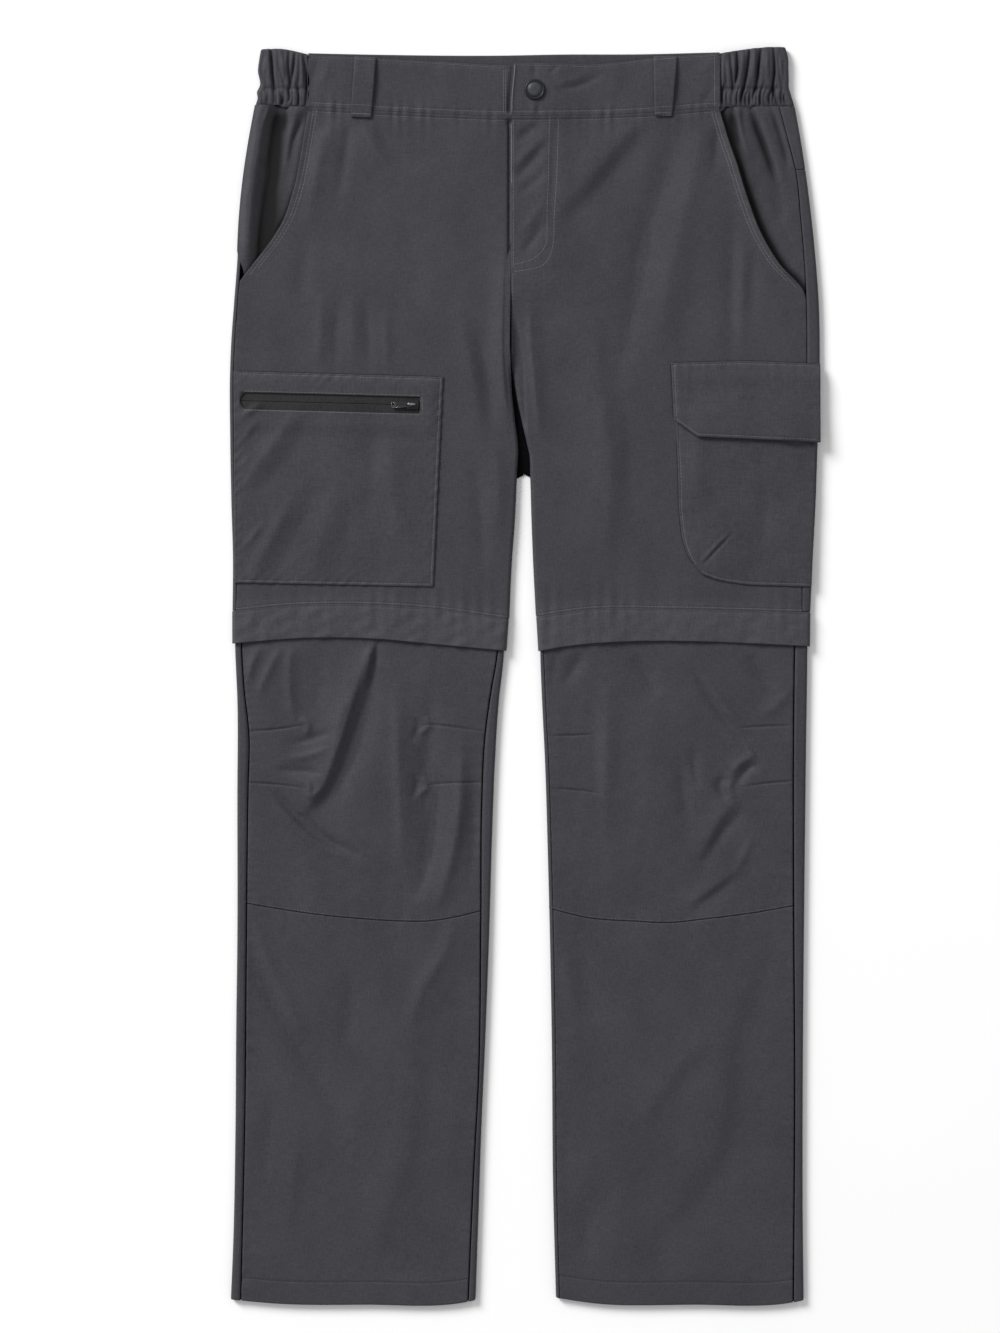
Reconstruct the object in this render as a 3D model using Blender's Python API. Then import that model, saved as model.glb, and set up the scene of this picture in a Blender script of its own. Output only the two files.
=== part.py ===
"""Convertible trousers with zip-off lower legs, laid flat with the front up.

Tables are in millimetres, meshes in metres. x runs across the garment (the wearer's right leg has the
negative values), "down" is the distance from the top of the waist towards the hems, and z is the
height above the surface the garment lies on. Y in the part is MIDDLE_DOWN minus down.
"""
import math

import bmesh
import bpy
import numpy as np
from mathutils import Matrix, Vector

MM = 0.001
MIDDLE_DOWN = 533.63
MIDDLE_X = -0.06

CLOTH = 1.2
GAP = 0.3
LOFT = 6.0
BAND_LOFT = 7.2
LEG_TOP = 5.7
TUCK = 1.5
TAPE = 1.0
WAIST = 2.4
WAIST_TOP = 6.6
ARC = 5
BULGE = 1.2
WINDOW_LIFT = 1.3
BUTTON_RADIUS = 8.85
BUTTON_AT = (8.3, 37.0)
SLIDER_AT = (-96.0, 303.4)
PULL_LENGTH = 17.6
PULL_TILT = math.radians(3.0)
CROTCH = 364.0


def curve(*pairs):
    """A smooth line through (at, value) pairs, straight beyond its ends."""
    at = np.array([pair[0] for pair in pairs], float)
    value = np.array([pair[1] for pair in pairs], float)
    slope = np.gradient(value, at)

    def read(t):
        k = int(np.clip(np.searchsorted(at, t) - 1, 0, len(at) - 2))
        step = at[k + 1] - at[k]
        s = (t - at[k]) / step
        if s < 0.0 or s > 1.0:
            end = 0 if s < 0.0 else -1
            return float(value[end] + slope[end] * np.clip(t - at[end], -12.0, 12.0))
        a = 2 * s**3 - 3 * s**2 + 1
        b = s**3 - 2 * s**2 + s
        c = 3 * s**2 - 2 * s**3
        d = s**3 - s**2
        return float(a * value[k] + b * step * slope[k] + c * value[k + 1] + d * step * slope[k + 1])

    return read


def straight(*pairs):
    """Straight pieces through (at, value) pairs, level beyond the ends."""
    at = [pair[0] for pair in pairs]
    value = [pair[1] for pair in pairs]
    return lambda t: float(np.interp(t, at, value))


def ramp(low, high, t):
    """0 below low, 1 above high, smooth between them."""
    s = min(max((t - low) / (high - low), 0.0), 1.0)
    return s * s * (3 - 2 * s)


def moved(line, offset):
    """The same line with every value moved by an offset."""
    return lambda t: line(t) + offset


# Outer sides of the shorts part: (down, x)
EDGE_RIGHT = curve((50, -228.5), (79, -233.8), (113, -238.9), (147, -242.2), (181, -243.9), (215, -246.5),
                   (249, -249), (282, -250.2), (325, -250), (384, -249), (435, -247.6), (480, -248))
EDGE_LEFT = curve((50, 228.6), (79, 233.8), (113, 238.9), (147, 243.1), (181, 246.5), (215, 249),
                  (249, 249.9), (299, 249.4), (333, 248.2), (384, 246.5), (435, 243.9), (480, 241.8))
SIDE_SEAM_LEFT = curve((50, 215), (79, 222.8), (104, 229.2), (147, 233.8), (189, 237.2), (215, 238.4),
                       (265, 238.9), (342, 237.2), (435, 235.5), (480, 234.6))
# Slanted pocket mouths: (down, x)
MOUTH_RIGHT = curve((50, -183), (79, -188), (100, -191.4), (126, -197.4), (149, -205.8), (168, -217.7),
                    (186, -232), (198, -241))
MOUTH_LEFT = curve((50, 164), (75, 171.1), (100, 179.6), (130, 188.9), (160, 200.7), (185, 216),
                   (208, 236.5), (216, 238.6))
# Inner lines of the two front panels, from the fly down to the knee zips: (down, x)
FLY = -11.9
INNER_RIGHT = curve((255, -12.6), (269, -11.9), (293, -11), (316, -8.5), (340, -5.7), (364, -6.8),
                    (401, -8.5), (435, -11), (486, -13.4))
INNER_LEFT = curve((255, -12.0), (269, -8.4), (284, -3), (300, 0.4), (316, 1.2), (340, 2.5), (364, 4.1),
                   (401, 5.1), (435, 6.8), (486, 9.4))
CENTRE_BACK = -1.3
# Lines that run across: (x, down)
WAIST_SEAM = curve((-230, 49.5), (-184, 51.2), (-105, 55.5), (-20, 58.9), (60, 58), (105, 56), (165, 51.5),
                   (229, 50.5))
YOKE_SEAM = curve((-240, 103.8), (0, 122), (240, 103.8))
BAND_TOP_RIGHT = curve((-248, 478.1), (-203, 473.5), (-130, 472.6), (-74, 476.3), (-16, 484.5))
BAND_TOP_LEFT = curve((9, 482.9), (51, 476.8), (124, 476.2), (198, 478), (241, 479.2))
BAND_END_RIGHT = curve((-248, 505.7), (-185, 501), (-130, 501.6), (-74, 506.6), (-15, 512))
BAND_END_LEFT = curve((11, 512.3), (32, 508.6), (87, 504), (124, 503.6), (198, 505.9), (241, 508.1))
# Outer sides of the lower legs and the seams that show on them: (down, x)
LOWER_OUT_RIGHT = curve((480, -246.2), (513, -245.6), (553, -243.9), (638, -243.9), (757, -243.9),
                        (825, -244.8), (926, -245.6), (1011, -247.3), (1062, -249.4))
LOWER_IN_RIGHT = curve((480, -17.4), (516, -18), (553, -22), (613, -25.8), (672, -28), (757, -30.5),
                       (825, -33), (926, -37.3), (1002, -39.8), (1062, -41.9))
LOWER_IN_LEFT = curve((480, 12.9), (516, 13), (553, 14.4), (604, 16.9), (689, 19.5), (757, 21.2),
                      (858, 22.9), (960, 23.7), (1062, 26.3))
LOWER_OUT_LEFT = curve((480, 239.4), (513, 239.4), (587, 238.4), (689, 237.2), (774, 236.3),
                       (892, 235.5), (994, 235.5), (1062, 236.3))
SEAM_OUT_RIGHT = curve((480, -240.4), (513, -240), (542, -238.2), (586, -233.8), (625, -234.6),
                       (774, -236.3), (892, -237.2), (1062, -240.9))
SEAM_IN_RIGHT = curve((480, -22.6), (514, -23.4), (547, -28.8), (586, -33.9), (638, -36.4), (741, -37.3),
                      (877, -39.3), (951, -43.2), (1062, -48))
SEAM_OUT_LEFT = curve((480, 229), (542, 228), (757, 227.9), (858, 228.6), (1062, 227.5))
KNEE_RIGHT = curve((-244, 724.5), (-180, 734.8), (-141, 738.7), (-102, 741), (-83, 741), (-63, 738.2),
                   (-34, 731.6))
KNEE_LEFT = curve((20, 730), (54, 738.2), (93, 741.1), (125, 742.1), (152, 739.2), (191, 734.3), (236, 726.5))
HEM_RIGHT = curve((-249, 1061.6), (-209, 1065.1), (-136, 1065.9), (-50, 1063.7), (-42, 1062))
HEM_LEFT = curve((26, 1060), (57, 1064.6), (142, 1065.9), (226, 1064.1), (237, 1062))

# Folds of the cloth: height, half width, then the points (x, down) each one runs through
FOLDS = (
    (-1.8, 8, (-124.5, 515), (-138, 553.5), (-152.5, 596), (-169.4, 630), (-186, 654)),
    (1.9, 8, (-140, 523), (-155, 560), (-170, 600), (-188, 630)),
    (1.0, 9, (-110, 530), (-121, 565), (-136, 605), (-150, 640)),
    (-1.3, 7, (-206, 636), (-188, 655), (-167, 675), (-138, 687)),
    (1.4, 12, (-108, 560), (-104, 640), (-107, 700)),
    (1.2, 9, (-63, 600), (-63, 640), (-72, 702), (-84, 735)),
    (-1.0, 6, (-238, 520), (-224, 530), (-214, 546)),
    (-1.3, 7, (155, 552), (178.7, 578), (200, 597)),
    (1.1, 8, (140, 560), (163, 592), (176, 615)),
    (-1.4, 7, (184.6, 638), (167, 667), (155, 690)),
    (1.2, 8, (199, 650), (184, 676), (170, 700)),
    (-1.1, 7, (184, 700), (159, 720)),
    (-0.9, 6, (67.8, 575), (67.8, 640)),
    (1.0, 12, (95, 560), (98, 650), (104, 720)),
    (1.3, 11, (104, 66), (72, 105), (36, 150)),
    (-1.0, 9, (84, 64), (52, 100), (26, 132)),
    (-1.4, 9, (-44, 236), (-36, 300), (-27, 386)),
    (1.2, 9, (-62, 250), (-54, 320), (-44, 400)),
    (-1.3, 10, (28, 225), (40, 300), (24, 380)),
    (1.1, 10, (56, 240), (62, 310), (46, 400)),
    (0.9, 14, (-150, 120), (-140, 200), (-132, 250)),
    (0.9, 14, (120, 110), (106, 190), (96, 262)),
    (1.0, 14, (-165, 770), (-170, 900), (-176, 1035)),
    (-0.8, 12, (-130, 780), (-134, 900), (-136, 1035)),
    (0.9, 14, (-92, 775), (-96, 900), (-100, 1035)),
    (1.0, 14, (80, 775), (84, 900), (92, 1035)),
    (-0.8, 12, (122, 780), (126, 900), (130, 1035)),
    (0.9, 14, (166, 770), (168, 900), (172, 1035)),
)


def fold_height(x, down):
    """Height of the folds at a point of the top cloth; none beside the edges or under the knee bands."""
    total = 0.0
    here = np.array((x, down))
    for height, width, *points in FOLDS:
        path = np.array(points, float)
        near = 1e9
        for a, b in zip(path[:-1], path[1:]):
            along = np.clip(np.dot(here - a, b - a) / np.dot(b - a, b - a), 0.0, 1.0)
            near = min(near, float(np.linalg.norm(here - a - along * (b - a))))
        total += height * math.exp(-(near / width)**2)
    if down < 490:
        left, right = EDGE_RIGHT(down), EDGE_LEFT(down)
        ends = ramp(58, 80, down) * (1 - ramp(440, 470, down))
    else:
        left, right = LOWER_OUT_RIGHT(down), LOWER_OUT_LEFT(down)
        ends = ramp(512, 530, down) * (1 - ramp(1030, 1050, down))
    sides = ramp(6, 22, x - left) * ramp(6, 22, right - x)
    if down > CROTCH - 20 and down < 490:
        middle = (INNER_RIGHT(down) + INNER_LEFT(down)) / 2
        sides *= ramp(10, 26, abs(x - middle))
    if down >= 490:
        middle = (LOWER_IN_RIGHT(down) + LOWER_IN_LEFT(down)) / 2
        sides *= ramp(30, 48, abs(x - middle))
    return total * ends * sides


def blend(first, last, part):
    """A line across the garment between two others."""
    return lambda x: first(x) * (1 - part) + last(x) * part


def meet(row, side):
    """Where a line across meets a line that runs down: x and down."""
    down = row(0.0)
    for _ in range(6):
        x = side(down)
        down = row(x)
    return side(down), down


def point(x, down, z):
    """A part point in metres from millimetres."""
    return Vector(((x - MIDDLE_X) * MM, (MIDDLE_DOWN - down) * MM, z * MM))


def paint(thing, colour, roughness, metallic=0.0):
    """Give a node its own Principled material."""
    material = bpy.data.materials.new(thing.name)
    material.use_nodes = True
    shader = material.node_tree.nodes["Principled BSDF"]
    shader.inputs["Base Color"].default_value = (*colour, 1.0)
    shader.inputs["Roughness"].default_value = roughness
    shader.inputs["Metallic"].default_value = metallic
    material.diffuse_color = (*colour, 1.0)
    thing.data.materials.clear()
    thing.data.materials.append(material)


def node(name, bm, origin=None):
    """Turn a bmesh into a named object with its faces looking out."""
    bmesh.ops.remove_doubles(bm, verts=bm.verts, dist=1e-7)
    bmesh.ops.recalc_face_normals(bm, faces=bm.faces)
    mesh = bpy.data.meshes.new(name)
    if origin is not None:
        bmesh.ops.translate(bm, verts=bm.verts, vec=-origin)
    bm.to_mesh(mesh)
    bm.free()
    thing = bpy.data.objects.new(name, mesh)
    bpy.context.collection.objects.link(thing)
    if origin is not None:
        thing.location = origin
    for polygon in mesh.polygons:
        polygon.use_smooth = True
    mesh.set_sharp_from_angle(angle=math.radians(40))
    return thing


def sheet(name, outer, inner, closed=False, holes=()):
    """A closed solid between two grids of points; holes are cells (row, column) left out."""
    bm = bmesh.new()
    out = [[bm.verts.new(p) for p in row] for row in outer]
    under = [[bm.verts.new(p) for p in row] for row in inner]
    rows, columns = len(out), len(out[0])
    sides = {}
    for i in range(rows - 1):
        for j in range(columns if closed else columns - 1):
            if (i, j) in holes:
                continue
            k = (j + 1) % columns
            corners = ((i, j), (i, k), (i + 1, k), (i + 1, j))
            bm.faces.new([out[a][b] for a, b in corners])
            bm.faces.new([under[a][b] for a, b in reversed(corners)])
            for a, b in zip(corners, corners[1:] + corners[:1]):
                edge = frozenset((a, b))
                sides[edge] = None if edge in sides else (a, b)
    for pair in sides.values():
        if pair:
            a, b = pair
            bm.faces.new((out[b[0]][b[1]], out[a[0]][a[1]], under[a[0]][a[1]], under[b[0]][b[1]]))
    return node(name, bm)


def flat_piece(name, left, right, rows, across, height, thick, shift=None, holes=()):
    """A sheet that lies level: sides are lines down, rows are lines across, height is its outer z."""
    outer, inner = [], []
    for i, row in enumerate(rows):
        x0 = meet(row, left)[0]
        x1 = meet(row, right)[0]
        line, below = [], []
        for j, part in enumerate(across):
            x = x0 + (x1 - x0) * part
            if shift:
                x += shift(i, j)
            down = row(x)
            z = height(x, down)
            line.append(point(x, down, z))
            below.append(point(x, down, z - thick))
        outer.append(line)
        inner.append(below)
    return sheet(name, outer, inner, holes=holes)


def curl(start, turn, length, sign, steps):
    """Points (x, z, nx, nz) of a strip that bends away from level by an angle over its length."""
    points = []
    for k in range(1, steps + 1):
        share = k / steps
        angle = turn * share
        if turn > 1e-4:
            radius = length / turn
            run, rise = radius * math.sin(angle), radius * (1 - math.cos(angle))
        else:
            run, rise = length * share, 0.0
        points.append((start + sign * run, rise, sign * math.sin(angle), math.cos(angle)))
    return points


def front_panel(name, rows, outer_side, inner_side, across, lift, sign):
    """A front panel of the shorts part; its inner side turns down into the fold below the fly."""
    radius = LOFT / 2
    outer, inner = [], []
    for row in rows:
        x0 = meet(row, outer_side)[0]
        x1, down1 = meet(row, inner_side)
        turn = math.radians(90) * ramp(258, 292, down1)
        length = radius * math.pi / 2 - GAP / 2
        run = length if turn < 1e-4 else length / turn * math.sin(turn)
        flat_end = x1 - sign * run
        line, below = [], []
        for part in across:
            x = x0 + (flat_end - x0) * part
            down = row(x)
            z = LOFT + fold_height(x, down) + lift(x, down)
            line.append(point(x, down, z))
            below.append(point(x, down, z - CLOTH))
        z = LOFT + fold_height(flat_end, down1) + lift(flat_end, down1)
        for x, drop, nx, nz in curl(flat_end, turn, length, sign, 3):
            line.append(point(x, down1, z - drop))
            below.append(point(x - CLOTH * nx, down1, z - drop - CLOTH * nz))
        outer.append(line)
        inner.append(below)
    return sheet(name, outer, inner)


def half_wrap(name, rows, edge, seam, end, across, strip, sign):
    """A back panel of one leg: round the outer side from the front seam, then flat to its inner end."""
    radius = LOFT / 2
    outer, inner = [], []
    for row in rows:
        x_edge, down_edge = meet(row, edge)
        x_end, down_end = meet(row, end)
        path = []
        if strip:
            x_seam = meet(row, seam)[0]
            for part in (0.0, 0.5):
                x = x_seam + (x_edge - sign * radius - x_seam) * part
                path.append((x, LOFT + fold_height(x, row(x)), 0.0, 1.0))
        for k in range(ARC + 1):
            angle = math.pi * k / ARC
            nx, nz = sign * math.sin(angle), math.cos(angle)
            path.append((x_edge - sign * radius + radius * nx, radius + radius * nz, nx, nz))
        turn = math.radians(90) * ramp(CROTCH - 1, CROTCH + 14, down_end)
        length = radius * math.pi / 2 - GAP / 2
        run = length if turn < 1e-4 else length / turn * math.sin(turn)
        flat_end = x_end + sign * run
        for x in sorted(across, key=lambda x: -sign * x) + [flat_end]:
            path.append((x, 0.0, 0.0, -1.0))
        for x, rise, nx, nz in curl(flat_end, turn, length, -sign, 3):
            path.append((x, rise, nx, -nz))
        outer.append([point(x, row(x), z) for x, z, nx, nz in path])
        inner.append([point(x - CLOTH * nx, row(x), z - CLOTH * nz) for x, z, nx, nz in path])
    return sheet(name, outer, inner)


def full_wrap(name, rows, left, right, base, top, thick, seams, across, lift=None, closed=False):
    """A piece that goes round the underside and both sides of a flattened tube.

    across holds the x of its points on the underside. seams holds the lines down where it ends on
    the top cloth, or None where it ends as the side turns level. closed makes the whole ring.
    """
    outer, inner = [], []
    for row in rows:
        x_left, down_left = meet(row, left)
        x_right = meet(row, right)[0]
        z0 = base(down_left)
        radius = (top - z0) / 2
        wall = thick(down_left)
        start, end = x_left + radius, x_right - radius
        path = []
        if seams[0]:
            x_seam = meet(row, seams[0])[0]
            path += [(x_seam + (start - x_seam) * part, top, 0.0, 1.0) for part in (0.0, 0.5)]
        for k in range(ARC + 1):
            angle = math.pi * k / ARC
            path.append((start - radius * math.sin(angle), z0 + radius * (1 + math.cos(angle)),
                         -math.sin(angle), math.cos(angle)))
        path += [(x, z0, 0.0, -1.0) for x in across]
        for k in range(ARC + 1):
            angle = math.pi * k / ARC
            path.append((end + radius * math.sin(angle), z0 + radius * (1 - math.cos(angle)),
                         math.sin(angle), -math.cos(angle)))
        if seams[1]:
            x_seam = meet(row, seams[1])[0]
            path += [(end + (x_seam - end) * part, top, 0.0, 1.0) for part in (0.5, 1.0)]
        if closed:
            path += [(end + (start - end) * part, top, 0.0, 1.0) for part in parts_of(15)[1:-1]]
        line, below = [], []
        for x, z, nx, nz in path:
            down = row(x)
            up = lift(x, down) if lift and nz > 0.5 else 0.0
            line.append(point(x, down, z + up))
            below.append(point(x - wall * nx, down, z + up - wall * nz))
        outer.append(line)
        inner.append(below)
    return sheet(name, outer, inner, closed=closed)


def parts_of(count):
    """Even shares of a span, ends included."""
    return [k / count for k in range(count + 1)]


def level(value):
    return lambda *_: value


for thing in list(bpy.data.objects):
    bpy.data.objects.remove(thing, do_unlink=True)

CLOTH_GREY = (0.060, 0.061, 0.068)
BAND_GREY = (0.069, 0.069, 0.078)
TAPE_GREY = (0.036, 0.035, 0.038)

# Shorts part: two front panels, two back panels, one yoke, two pocket facings
fly_width = 24.0


def front_fly_lift(x, down):
    """The left front lies over the right one beside the fly."""
    return 1.6 * (1 - ramp(FLY + fly_width + 4, FLY + fly_width + 36, x)) * (1 - ramp(199, 232, down))


row_marks = (0.0, 24, 48, 72, 96, 118, 135, 141, 160, 182, 204, 218, 232, 248, 264, 280, 296, 308, 318, 330,
             352, 378, 404, 421)


def shorts_rows(last, first=WAIST_SEAM, marks=row_marks):
    """Lines across the shorts part from the waist seam to a knee band."""
    top, bottom = moved(first, GAP / 2), moved(last, -GAP / 2)
    return [blend(top, bottom, mark / marks[-1]) for mark in marks]


rows_right = shorts_rows(BAND_TOP_RIGHT)
rows_left = shorts_rows(BAND_TOP_LEFT)
side_right = moved(EDGE_RIGHT, LOFT / 2 + GAP)
side_left = moved(SIDE_SEAM_LEFT, -GAP / 2)


def front_side_right(down):
    """The right front's outer side: the pocket mouth, then the side seam."""
    return max(MOUTH_RIGHT(down), side_right(down)) if down < 215 else side_right(down)


def front_side_left(down):
    """The left front's outer side: the pocket mouth, then the side seam."""
    return min(MOUTH_LEFT(down), side_left(down)) if down < 225 else side_left(down)


def inner_right(down):
    """The right front's inner line, with the fly extension under the left front."""
    if down < 193:
        return FLY + fly_width
    return INNER_RIGHT(down) - GAP / 2 if down > 255 else FLY - GAP / 2 - 0.7 * ramp(193, 255, down)


def inner_left(down):
    """The left front's inner line along the fly edge and the fold below it."""
    return INNER_LEFT(down) + GAP / 2 if down > 255 else FLY + GAP / 2 - 0.1 * ramp(193, 255, down)


front_columns = parts_of(15)
front_right = front_panel("front_right", rows_right, front_side_right, inner_right, front_columns, level(0.0), 1)
front_left = front_panel("front_left", rows_left, front_side_left, inner_left, front_columns, front_fly_lift, -1)


def back_end_right(down):
    """Inner end of the right back panel: the centre seam, then the leg's inner fold."""
    return CENTRE_BACK - GAP / 2 if down < CROTCH else INNER_RIGHT(down)


def back_end_left(down):
    """Inner end of the left back panel."""
    return CENTRE_BACK + GAP / 2 if down < CROTCH else INNER_LEFT(down)


def back_rows(rows):
    """The lines across that lie below the yoke, led by the yoke seam itself."""
    lines = [moved(YOKE_SEAM, GAP / 2)]
    return lines + [row for row in rows if row(0.0) > 130]


under_right = (-215, -185, -150, -120, -90, -60)
under_left = (60, 90, 120, 150, 185, 212)
back_right = half_wrap("back_right", back_rows(rows_right), EDGE_RIGHT, None, back_end_right,
                       under_right + (-36,), False, -1)
back_left = half_wrap("back_left", back_rows(rows_left), EDGE_LEFT, moved(SIDE_SEAM_LEFT, GAP / 2),
                      back_end_left, (34,) + under_left, True, 1)
yoke_rows = [rows_left[0], rows_left[1], rows_left[2], moved(YOKE_SEAM, -GAP / 2)]
back_yoke = full_wrap("back_yoke", yoke_rows, EDGE_RIGHT, EDGE_LEFT, level(0.0), LOFT, level(CLOTH),
                      (None, moved(SIDE_SEAM_LEFT, GAP / 2)),
                      under_right + (-30, 0, 30) + under_left)

facing_rows_right = [blend(moved(WAIST_SEAM, GAP / 2), level(212.0), share) for share in parts_of(7)]
facing_rows_left = [blend(moved(WAIST_SEAM, GAP / 2), level(226.0), share) for share in parts_of(7)]
facing_z = LOFT - CLOTH - GAP


def facing_wave(x, down):
    """Gathers of the elastic running down into the pocket facings."""
    near = min(abs(x - EDGE_RIGHT(down)), abs(x - EDGE_LEFT(down)))
    wave = math.cos(near / 2.6) * ramp(3, 10, near) * (1 - ramp(28, 34, near))
    return facing_z - 0.5 + 0.5 * wave * (1 - ramp(70, 140, down))


hip_pocket_right = flat_piece("hip_pocket_right", moved(EDGE_RIGHT, LOFT / 2 + GAP), moved(MOUTH_RIGHT, 18.0),
                              facing_rows_right, parts_of(10), facing_wave, CLOTH)
hip_pocket_left = flat_piece("hip_pocket_left", moved(MOUTH_LEFT, -18.0), moved(SIDE_SEAM_LEFT, -GAP),
                             facing_rows_left, parts_of(10), facing_wave, CLOTH)

# Knee bands that cover the zips, and the zip tapes under them
band_rows = (0.0, 0.35, 0.7, 1.0)


def knee_band(name, first, last, left, right, across):
    """A band all round one leg over the zip."""
    top = moved(first, GAP / 2)
    rows = [blend(top, last, share) for share in band_rows]
    return full_wrap(name, rows, left, right, level(0.0), BAND_LOFT, level(CLOTH), (None, None),
                     across, closed=True)


def band_inner_right(down):
    return float(np.interp(down, (478, 512), (-13.2, -15.6)))


def band_inner_left(down):
    return float(np.interp(down, (478, 512), (9.2, 11.2)))


def band_outer_left(down):
    return float(np.interp(down, (478, 508), (242.0, 241.6)))


knee_flap_right = knee_band("knee_flap_right", BAND_TOP_RIGHT, BAND_END_RIGHT, level(-248.2), band_inner_right,
                            under_right + (-36,))
knee_flap_left = knee_band("knee_flap_left", BAND_TOP_LEFT, BAND_END_LEFT, band_inner_left, band_outer_left,
                           (34,) + under_left)

tape_inset = CLOTH + GAP
leg_start = -9.5


def leg_zip(name, first, last, left, right, across):
    """The zip's two tapes as one ring inside a knee band."""
    rows = [blend(moved(first, GAP / 2), moved(last, leg_start - GAP), share) for share in (0.0, 0.5, 1.0)]
    return full_wrap(name, rows, moved(left, tape_inset), moved(right, -tape_inset), level(TUCK), LEG_TOP,
                     level(TAPE), (None, None), across, closed=True)


leg_zip_right = leg_zip("leg_zip_right", BAND_TOP_RIGHT, BAND_END_RIGHT, level(-248.2), band_inner_right,
                        under_right + (-36,))
leg_zip_left = leg_zip("leg_zip_left", BAND_TOP_LEFT, BAND_END_LEFT, band_inner_left, band_outer_left,
                       (34,) + under_left)

# Lower legs: a knee panel and a shin panel in front, one back panel round both sides
knee_marks = (0.0, 10, 20, 34, 50, 68, 86, 104, 122, 140, 158, 176, 194, 212, 228, 240)
shin_marks = (0.0, 22, 48, 80, 112, 146, 180, 214, 248, 280, 303, 306, 325)
hem_depth = 18.7


def leg_cloth(down):
    """Wall of the lower leg: the turned hem is thicker."""
    return CLOTH + 0.8 * ramp(1044, 1046.5, down)


def leg_base(down):
    """Underside of the lower leg: tucked up inside the band, then on the surface."""
    return TUCK * (1 - ramp(508, 526, down))


def leg_height(x, down):
    return LEG_TOP + fold_height(x, down)


def lower_leg(side, band_end, knee, hem, left, right, seam_left, seam_right, columns, across):
    """The three panels of a lower leg. seam_left or seam_right is None where it runs on the side."""
    top = moved(band_end, leg_start)
    knee_rows = [blend(top, knee, mark / knee_marks[-1]) for mark in knee_marks]
    shin_rows = [blend(knee, hem, mark / shin_marks[-1]) for mark in shin_marks]
    knee_front = knee_rows[:-1] + [moved(knee, -GAP / 2)]
    shin_front = [moved(knee, GAP / 2)] + shin_rows[1:]

    def from_side(line, sign):
        """The panel edge where the back panel ends as the side turns level."""
        return lambda down: line(down) + sign * ((LEG_TOP - leg_base(down)) / 2 + GAP)

    line_left = moved(seam_left, GAP / 2) if seam_left else from_side(left, 1)
    line_right = moved(seam_right, -GAP / 2) if seam_right else from_side(right, -1)
    knee_panel = flat_piece(f"knee_panel_{side}", line_left, line_right, knee_front, columns, leg_height, CLOTH)
    shin_across = parts_of(12)
    outer, inner = [], []
    for row in shin_front:
        x0 = meet(row, line_left)[0]
        x1 = meet(row, line_right)[0]
        places = [(x0 + (x1 - x0) * part) for part in shin_across]
        outer.append([point(x, row(x), leg_height(x, row(x))) for x in places])
        inner.append([point(x, row(x), leg_height(x, row(x)) - leg_cloth(row(x))) for x in places])
    shin_panel = sheet(f"shin_panel_{side}", outer, inner)
    ends = (moved(seam_left, -GAP / 2) if seam_left else None, moved(seam_right, GAP / 2) if seam_right else None)
    back = full_wrap(f"back_lower_{side}", knee_rows + shin_rows[1:], left, right, leg_base, LEG_TOP,
                     leg_cloth, ends, across)
    return knee_panel, shin_panel, back


lower_right = lower_leg("right", BAND_END_RIGHT, KNEE_RIGHT, HEM_RIGHT, LOWER_OUT_RIGHT, LOWER_IN_RIGHT,
                        SEAM_OUT_RIGHT, SEAM_IN_RIGHT, parts_of(22), under_right)
lower_left = lower_leg("left", BAND_END_LEFT, KNEE_LEFT, HEM_LEFT, LOWER_IN_LEFT, LOWER_OUT_LEFT,
                       None, SEAM_OUT_LEFT, parts_of(22), under_left)

# Waistband: two stiff front parts, an elastic part at each side, one back part
ELASTIC_RIGHT = -184.0
ELASTIC_LEFT = 165.3
top_front_right = curve((-184, 7.2), (-143, 9.2), (-78, 12.8), (-15, 16.3), (20, 17))
top_front_left = curve((-12, 14.6), (31, 15.2), (50, 15.7), (110, 9.9), (166, 5.8))
top_back = curve((-184, 6.6), (-123, 7.9), (-21, 8.6), (30, 7.7), (97, 7.5), (166, 5.8))
top_side_right = curve((-226, 2.4), (-205, 2.2), (-184, 6.6))
top_side_left = curve((165, 5.8), (190, 2.0), (210, 0.4), (222, 0.6))
waist_edge_right = curve((0, -223.4), (10, -225.2), (20, -226.4), (33.5, -225.0), (38, -227.2), (43, -226.7),
                         (50, -228.6))
waist_edge_left = curve((0, 220.6), (8, 222.8), (20, 223.4), (28, 223.6), (34, 223.6), (41, 225.6), (50, 228.4))
band_low = moved(WAIST_SEAM, -GAP / 2)
waist_shares = (0.0, 0.12, 0.5, 0.88, 1.0)
overlap = 34.0


def waist_lift(x, down):
    """The left end of the waistband lies over the right end, under the button."""
    return (WAIST + GAP) * (1 - ramp(FLY + overlap + 4, FLY + overlap + 40, x))


def waist_front(name, first, left, right, lift, count):
    rows = [blend(first, band_low, share) for share in waist_shares]
    return flat_piece(name, level(left), level(right), rows, parts_of(count),
                      lambda x, down: WAIST_TOP + lift(x, down), WAIST)


waistband_front_right = waist_front("waistband_front_right", top_front_right, ELASTIC_RIGHT + GAP / 2,
                                    FLY + overlap, level(0.0), 12)
waistband_front_left = waist_front("waistband_front_left", top_front_left, FLY, ELASTIC_LEFT - GAP / 2,
                                   waist_lift, 14)
back_band_rows = [blend(top_back, band_low, share) for share in waist_shares]
waistband_back = flat_piece("waistband_back", level(ELASTIC_RIGHT + GAP / 2), level(ELASTIC_LEFT - GAP / 2),
                            back_band_rows, parts_of(6), level(WAIST), WAIST)

# Valleys of the gathers: x at the top of the elastic, x at its pinch
gathers_right = ((-215, -213.5), (-208, -206), (-199, -199), (-195, -194.5), (-189, -188.5))
gathers_left = ((171, 172), (179, 178.5), (187, 186.5), (197, 197), (208, 209), (216, 217.5))
elastic_shares = (0.0, 0.1, 0.28, 0.45, 0.6, 0.68, 0.76, 0.87, 1.0)


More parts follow.
